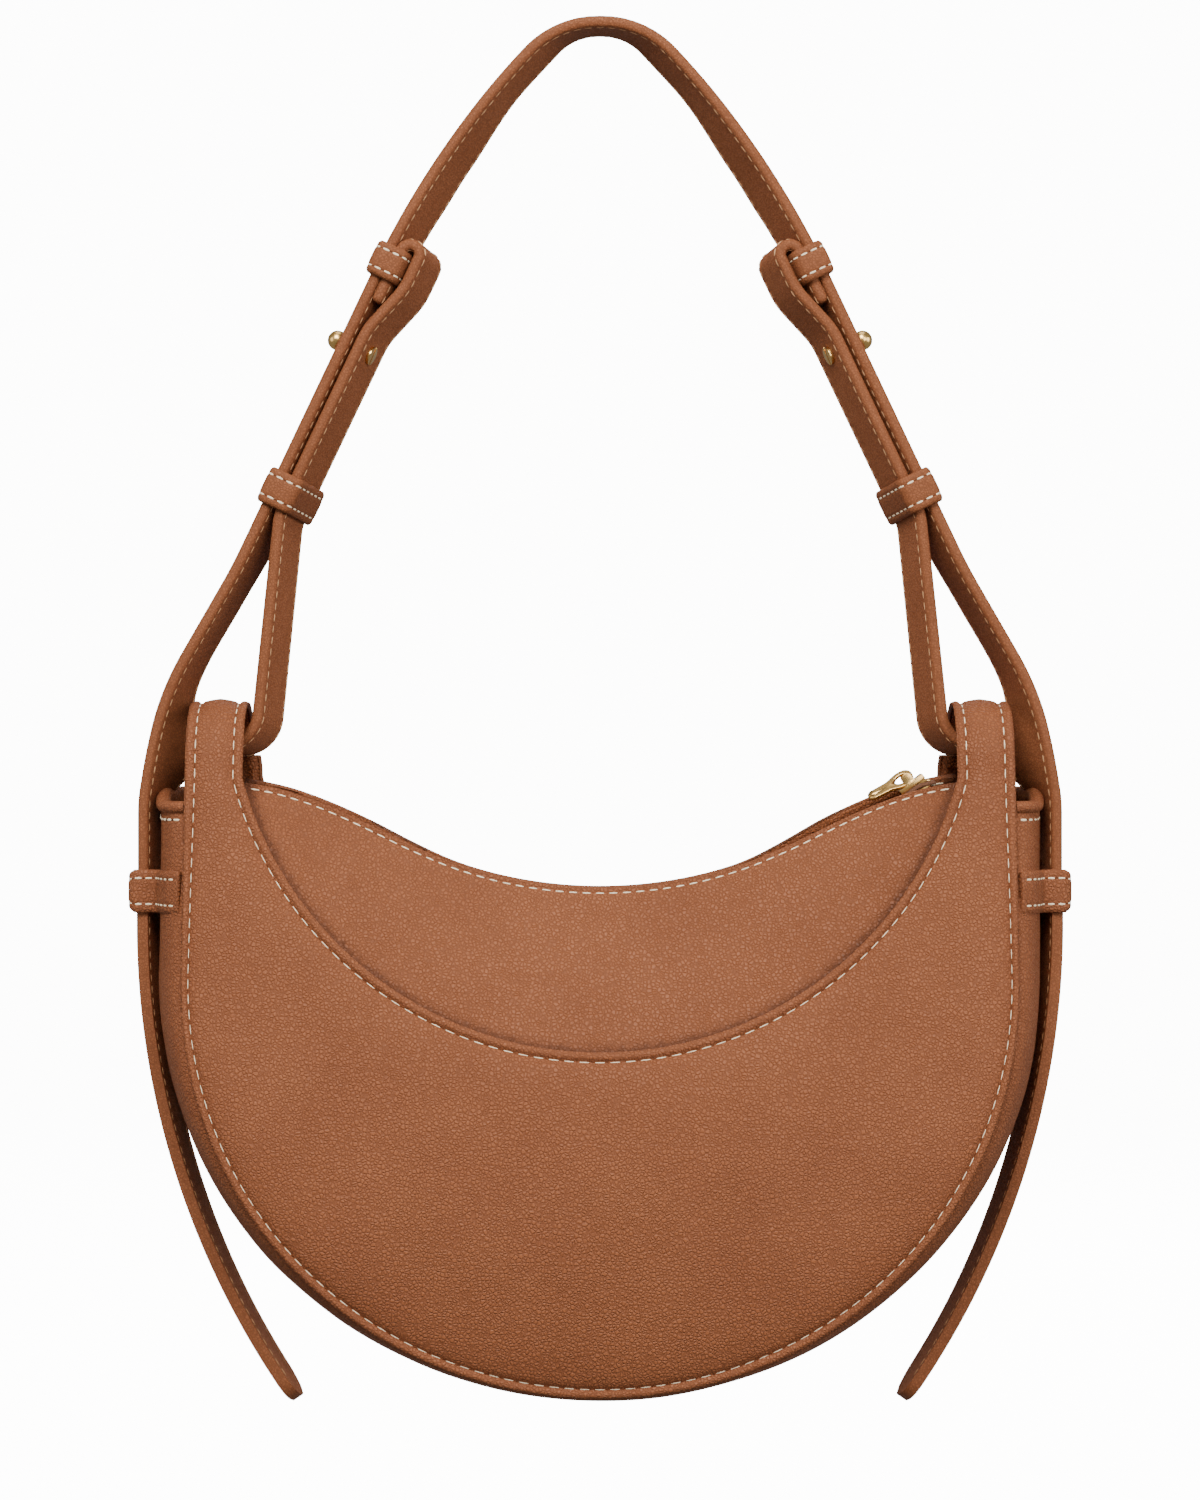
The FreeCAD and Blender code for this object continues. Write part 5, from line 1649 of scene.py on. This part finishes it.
class BAG_OT_studs(bpy.types.Operator):
    """Ball studs outside the long strap and slotted screws inside the lower strap"""

    bl_idname = "bag.studs"
    bl_label = "Studs"

    def execute(self, context):
        face = THICK / 2
        centre = -face - SEAM_GAP - BALL_RADIUS
        inner_face = face + THICK + DOUBLED_GAP
        for name, side in SIDES:
            bpy.ops.object.select_all(action="DESELECT")
            bpy.ops.mesh.primitive_uv_sphere_add(segments=40, ring_count=24, radius=BALL_RADIUS,
                                                 location=(0, 0, centre))
            ball = bpy.context.object
            ball.name = f"{name}_ball"
            post = add_cylinder(32, POST_RADIUS, centre, inner_face)
            middle = -face - SEAM_GAP
            foot = add_cylinder(40, BALL_RADIUS * STUD_FOOT_SHARE, middle - STUD_FOOT_HEIGHT / 2,
                                middle + STUD_FOOT_HEIGHT / 2)
            add_modifier(foot, "BEVEL", width=STUD_FOOT_ROUND, segments=3, limit_method="ANGLE")
            join_onto(ball, [post, foot])
            only(ball)
            bpy.ops.object.shade_smooth_by_angle(angle=BRASS_ANGLE)
            set_in_place(ball, stud_matrix(side))
            dress(ball, brass(), "strap")
            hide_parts(f"{name}_stud_ball")

            start = inner_face + SEAM_GAP
            head = add_cylinder(48, SCREW_RADIUS, start, start + SCREW_HEIGHT)
            head.name = f"{name}_screw"
            bpy.ops.object.transform_apply(location=True, rotation=True, scale=True)
            bpy.ops.object.select_all(action="DESELECT")
            bpy.ops.mesh.primitive_cube_add(size=1, location=(0, 0, start + SCREW_HEIGHT))
            cutter = bpy.context.object
            cutter.scale = (SLOT_WIDTH, 3 * SCREW_RADIUS, SCREW_HEIGHT)
            bpy.ops.object.transform_apply(location=True, rotation=True, scale=True)
            add_modifier(head, "BOOLEAN", object=cutter, operation="DIFFERENCE", solver="EXACT")
            bpy.data.objects.remove(cutter)
            add_modifier(head, "BEVEL", width=SCREW_ROUND, segments=3, limit_method="ANGLE",
                         angle_limit=BRASS_ANGLE)
            only(head)
            bpy.ops.object.shade_smooth_by_angle(angle=BRASS_ANGLE)
            set_in_place(head, stud_matrix(side))
            dress(head, brass(), "strap")
            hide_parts(f"{name}_stud_screw")
        return {"FINISHED"}


class BAG_OT_zip(bpy.types.Operator):
    """Zip tapes, brass teeth and stops, and a slider and puller with softened edges"""

    bl_idname = "bag.zip"
    bl_label = "Zip"
    pull_lean = math.radians(48)
    pull_reach = 15 * MM
    pull_start = -2.5 * MM
    window_centre = 1.6 * MM
    pull_rise = math.radians(10)
    pull_lift = 0.2 * MM
    pull_half = 3.3 * MM
    pull_tip_half = 1.9 * MM
    window_half = Vector((2.9 * MM, 1.9 * MM))
    pull_thickness = 1.2 * MM
    pull_round = 0.35 * MM
    neck_start = 2 * MM
    neck_reach = 6 * MM
    outline_halvings = 30
    corner_crowding = 0.42
    head_crowding = 0.3
    left_tuck = 2 * MM
    right_stand = 1 * MM
    flat_angle = math.radians(2)
    smooth_angle = math.radians(35)
    softened = 0.22 * MM
    tape_sag_share = 0.4
    tape_round_share = 0.3
    tape_weave = 0.7 * MM

    def over_edge(self, yoke, x):
        """How far the zip's arc stands over the mouth's edge, which its ends follow down."""
        arc = ZIP_CENTRE - math.sqrt(ZIP_RADIUS ** 2 - x ** 2)
        roof = yoke.edges(x)[0] + (-self.left_tuck if x < 0 else self.right_stand)
        return max(arc - roof, 0)

    def pull_width(self, s):
        """Half width of the puller at a distance from the pin: a round head and a slim tail."""
        neck = ease((s - self.neck_start) / self.neck_reach)
        body = self.pull_half + (self.pull_tip_half - self.pull_half) * neck
        near = s - self.pull_start
        left = self.pull_reach - s
        if near < 0 or left < 0:
            return -1
        head = math.sqrt(max(1 - max(1 - near / self.pull_half, 0) ** 2, 0))
        tail = math.sqrt(max(1 - max(1 - left / self.pull_tip_half, 0) ** 2, 0))
        return body * head * tail

    def pull_edge(self, angle):
        """Distance from the window's middle to the puller's outline in a direction."""
        low, high = 0, self.pull_reach
        for _ in range(self.outline_halvings):
            middle = (low + high) / 2
            along = self.window_centre + middle * math.cos(angle)
            if abs(middle * math.sin(angle)) <= self.pull_width(along):
                low = middle
            else:
                high = middle
        return low

    def make_puller(self):
        """A flat tag with a window, hung on the pin."""
        pin = Vector(next(j for j in frame["record"]["behaviour"]["joints"]
                          if j["name"] == "pull_flip")["pos_m"])
        low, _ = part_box("zip_puller")
        side = Vector((0, 1, 0))
        way = Matrix.Rotation(self.pull_rise, 3, side) @ (Vector((low.x, 0, low.z)) - pin).normalized()
        up = side.cross(way)
        if up.z < 0:
            up = -up

        def place(u, v):
            turn = 2 * math.pi * u
            crowding = self.corner_crowding * math.sin(2 * turn)
            angle = turn - crowding - self.head_crowding * math.sin(turn)
            wide = self.window_half
            hole = wide.x * wide.y / math.hypot(wide.y * math.cos(angle), wide.x * math.sin(angle))
            reach = hole + (self.pull_edge(angle) - hole) * v
            s, across = self.window_centre + reach * math.cos(angle), reach * math.sin(angle)
            cross = side * math.cos(self.pull_lean) + up * math.sin(self.pull_lean)
            return pin + way * s + cross * across + up * self.pull_lift
        piece = grid_piece("zip_pull_tag", 72, 5, place)
        close_mesh(piece)
        thicken(piece, self.pull_thickness, 0, self.pull_round)
        return piece

    def execute(self, context):
        colours = context.scene.bag_colours
        for node in ("front_zip_teeth", "back_zip_teeth"):
            paint(node, brass())
        yoke = Yoke(-1)
        for node, body in (("zip_slider", "slider"), ("zip_end_stops", "bag")):
            source = frame["nodes"][node]
            piece = bpy.data.objects.new(f"{node}_polished", source.data.copy())
            context.scene.collection.objects.link(piece)
            close_mesh(piece, outwards=False)
            only(piece)
            bpy.ops.object.mode_set(mode="EDIT")
            bpy.ops.mesh.select_all(action="SELECT")
            bpy.ops.mesh.dissolve_limited(angle_limit=self.flat_angle)
            bpy.ops.object.mode_set(mode="OBJECT")
            add_modifier(piece, "BEVEL", width=self.softened, segments=2, limit_method="ANGLE",
                         angle_limit=BRASS_ANGLE)
            if body == "bag":
                for vertex in piece.data.vertices:
                    vertex.co.z -= self.over_edge(yoke, vertex.co.x)
            only(piece)
            bpy.ops.object.shade_smooth_by_angle(angle=self.smooth_angle)
            dress(piece, brass(), body)
            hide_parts(node)
        puller = self.make_puller()
        dress(puller, brass(), "puller")
        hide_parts("zip_puller")
        for name, facing in (("front", -1), ("back", 1)):
            low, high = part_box(f"{name}_zip_tape")
            span = math.asin(min(high.x, -low.x) / ZIP_RADIUS)
            near, away = sorted((abs(low.y), abs(high.y)))

            def tape(u, v, facing=facing, near=near, away=away, span=span):
                turn = (2 * u - 1) * span
                radius = ZIP_RADIUS - TAPE_THICKNESS * self.tape_sag_share * math.sin(math.pi * v)
                depth = facing * (near + (away - near) * v)
                x = radius * math.sin(turn)
                return Vector((x, depth, ZIP_CENTRE - radius * math.cos(turn) - self.over_edge(yoke, x)))
            strip = grid_piece(f"{name}_tape", 120, 8, tape)
            thicken(strip, TAPE_THICKNESS, 0, TAPE_THICKNESS * self.tape_round_share, segments=2)
            dress(strip, woven("zip_tape", colours.tape, self.tape_weave), "bag")
            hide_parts(f"{name}_zip_tape")
        return {"FINISHED"}


class BAG_OT_inner_layers(bpy.types.Operator):
    """Finishes of the pieces that lie inside the bag"""

    bl_idname = "bag.inner_layers"
    bl_label = "Inner layers"
    lining_weave = 0.5 * MM

    def execute(self, context):
        colours = context.scene.bag_colours
        for node in ("front_padding", "back_padding", "left_horn_filler", "right_horn_filler"):
            paint(node, napped("inner_suede", colours.suede))
        paint("lining", woven("lining_cloth", colours.cloth, self.lining_weave))
        return {"FINISHED"}


class BAG_OT_stage(bpy.types.Operator):
    """Camera, round room whose floor curves up into its wall, and soft lights"""

    bl_idname = "bag.stage"
    bl_label = "Stage"
    glow = 14.0
    cloud_spacing = 0.4
    cloud_tone = 0.97
    world_tint = (1, 0.99, 0.97, 1)
    world_strength = 0.3
    light_aim = Vector((0, 0, -0.3))
    # Name, place, diameter and power of each light.
    lights = (("key", (-0.35, -1.35, 0.95), 1.1, 46), ("fill", (0.8, -1.5, 0.25), 1.1, 14),
              ("left", (-1.5, -0.6, 0.1), 1.0, 5), ("right", (1.5, -0.6, 0.1), 1.0, 10),
              ("top", (0.0, 0.1, 1.3), 1.0, 5), ("rear", (0.3, 1.7, 0.6), 1.3, 34))

    def execute(self, context):
        scene = context.scene
        camera = bpy.data.objects.new("bag_camera", bpy.data.cameras.new("bag_camera"))
        scene.collection.objects.link(camera)
        camera.data.sensor_fit = "VERTICAL"
        camera.data.sensor_height = SENSOR
        camera.data.lens = SENSOR * CAMERA_DISTANCE / PICTURE_HEIGHT
        camera.location = (0, -HALF_DEPTH - CAMERA_DISTANCE, CAMERA_LEVEL)
        camera.rotation_euler = (math.pi / 2, 0, 0)
        scene.camera = camera

        def bowl(u, v):
            angle = 2 * math.pi * u
            walked = v * (FLOOR_REACH + BACKDROP_RADIUS * math.pi / 2 + BACKDROP_HEIGHT)
            bend = min(max(walked - FLOOR_REACH, 0) / BACKDROP_RADIUS, math.pi / 2)
            rise = max(walked - FLOOR_REACH - BACKDROP_RADIUS * math.pi / 2, 0)
            reach = min(walked, FLOOR_REACH) + BACKDROP_RADIUS * math.sin(bend)
            level = FLOOR_LEVEL + BACKDROP_RADIUS * (1 - math.cos(bend)) + rise
            return Vector((reach * math.cos(angle), reach * math.sin(angle), level))
        sheet = grid_piece("studio_bowl", 96, 60, bowl)
        close_mesh(sheet)
        only(sheet)
        bpy.ops.object.shade_smooth()
        shader = Shader("studio_paper")
        cloud = shader.noise(shader.place(), self.cloud_spacing, 2.0)
        pale = scene.bag_colours.studio
        tint = shader.mix(cloud * 0.1, pale, toned(pale, self.cloud_tone))
        sheet.data.materials.append(shader.finish(Base_Color=tint, Roughness=0.9, Emission_Color=tint,
                                                  Emission_Strength=self.glow))
        sheet.visible_diffuse = False
        sheet.visible_glossy = False

        for name, place, across, power in self.lights:
            lamp = bpy.data.objects.new(f"{name}_light", bpy.data.lights.new(f"{name}_light", "AREA"))
            lamp.data.shape = "DISK"
            lamp.data.size = across
            lamp.data.energy = power
            lamp.location = place
            lamp.visible_glossy = name != "rear"
            aim = self.light_aim - Vector(place)
            lamp.rotation_euler = aim.to_track_quat("-Z", "Y").to_euler()
            scene.collection.objects.link(lamp)
        world = bpy.data.worlds.new("studio_world")
        world.use_nodes = True
        world.node_tree.nodes["Background"].inputs[0].default_value = self.world_tint
        world.node_tree.nodes["Background"].inputs[1].default_value = self.world_strength
        scene.world = world
        return {"FINISHED"}


class BAG_PT_pieces(bpy.types.Panel):
    """Lists the bag's pieces and their sizes"""

    bl_label = "Half moon bag"
    bl_idname = "BAG_PT_pieces"
    bl_space_type = "VIEW_3D"
    bl_region_type = "UI"
    bl_category = "Bag"

    def draw(self, context):
        for group in (context.scene.bag_shape, context.scene.bag_thread, context.scene.bag_colours):
            box = self.layout.box()
            for key in group.bl_rna.properties.keys():
                if key not in ("rna_type", "name"):
                    box.prop(group, key)
        for operator in OPERATORS:
            self.layout.operator(operator.bl_idname)


OPERATORS = (
    BAG_OT_stage, BAG_OT_crescents, BAG_OT_yokes, BAG_OT_gusset, BAG_OT_side_loops, BAG_OT_long_strap,
    BAG_OT_tails, BAG_OT_lower_straps, BAG_OT_keepers, BAG_OT_studs, BAG_OT_zip, BAG_OT_inner_layers,
)
GROUPS = (("bag_shape", BagShape), ("bag_thread", BagThread), ("bag_colours", BagColours))


def register():
    for name, group in GROUPS:
        bpy.utils.register_class(group)
        setattr(bpy.types.Scene, name, PointerProperty(type=group))
    for operator in OPERATORS:
        bpy.utils.register_class(operator)
    bpy.utils.register_class(BAG_PT_pieces)


def unregister():
    bpy.utils.unregister_class(BAG_PT_pieces)
    for operator in reversed(OPERATORS):
        bpy.utils.unregister_class(operator)
    for name, group in reversed(GROUPS):
        delattr(bpy.types.Scene, name)
        bpy.utils.unregister_class(group)


def main():
    register()
    for operator in OPERATORS:
        family, action = operator.bl_idname.split(".")
        getattr(getattr(bpy.ops, family), action)()


if __name__ == "__main__":
    main()
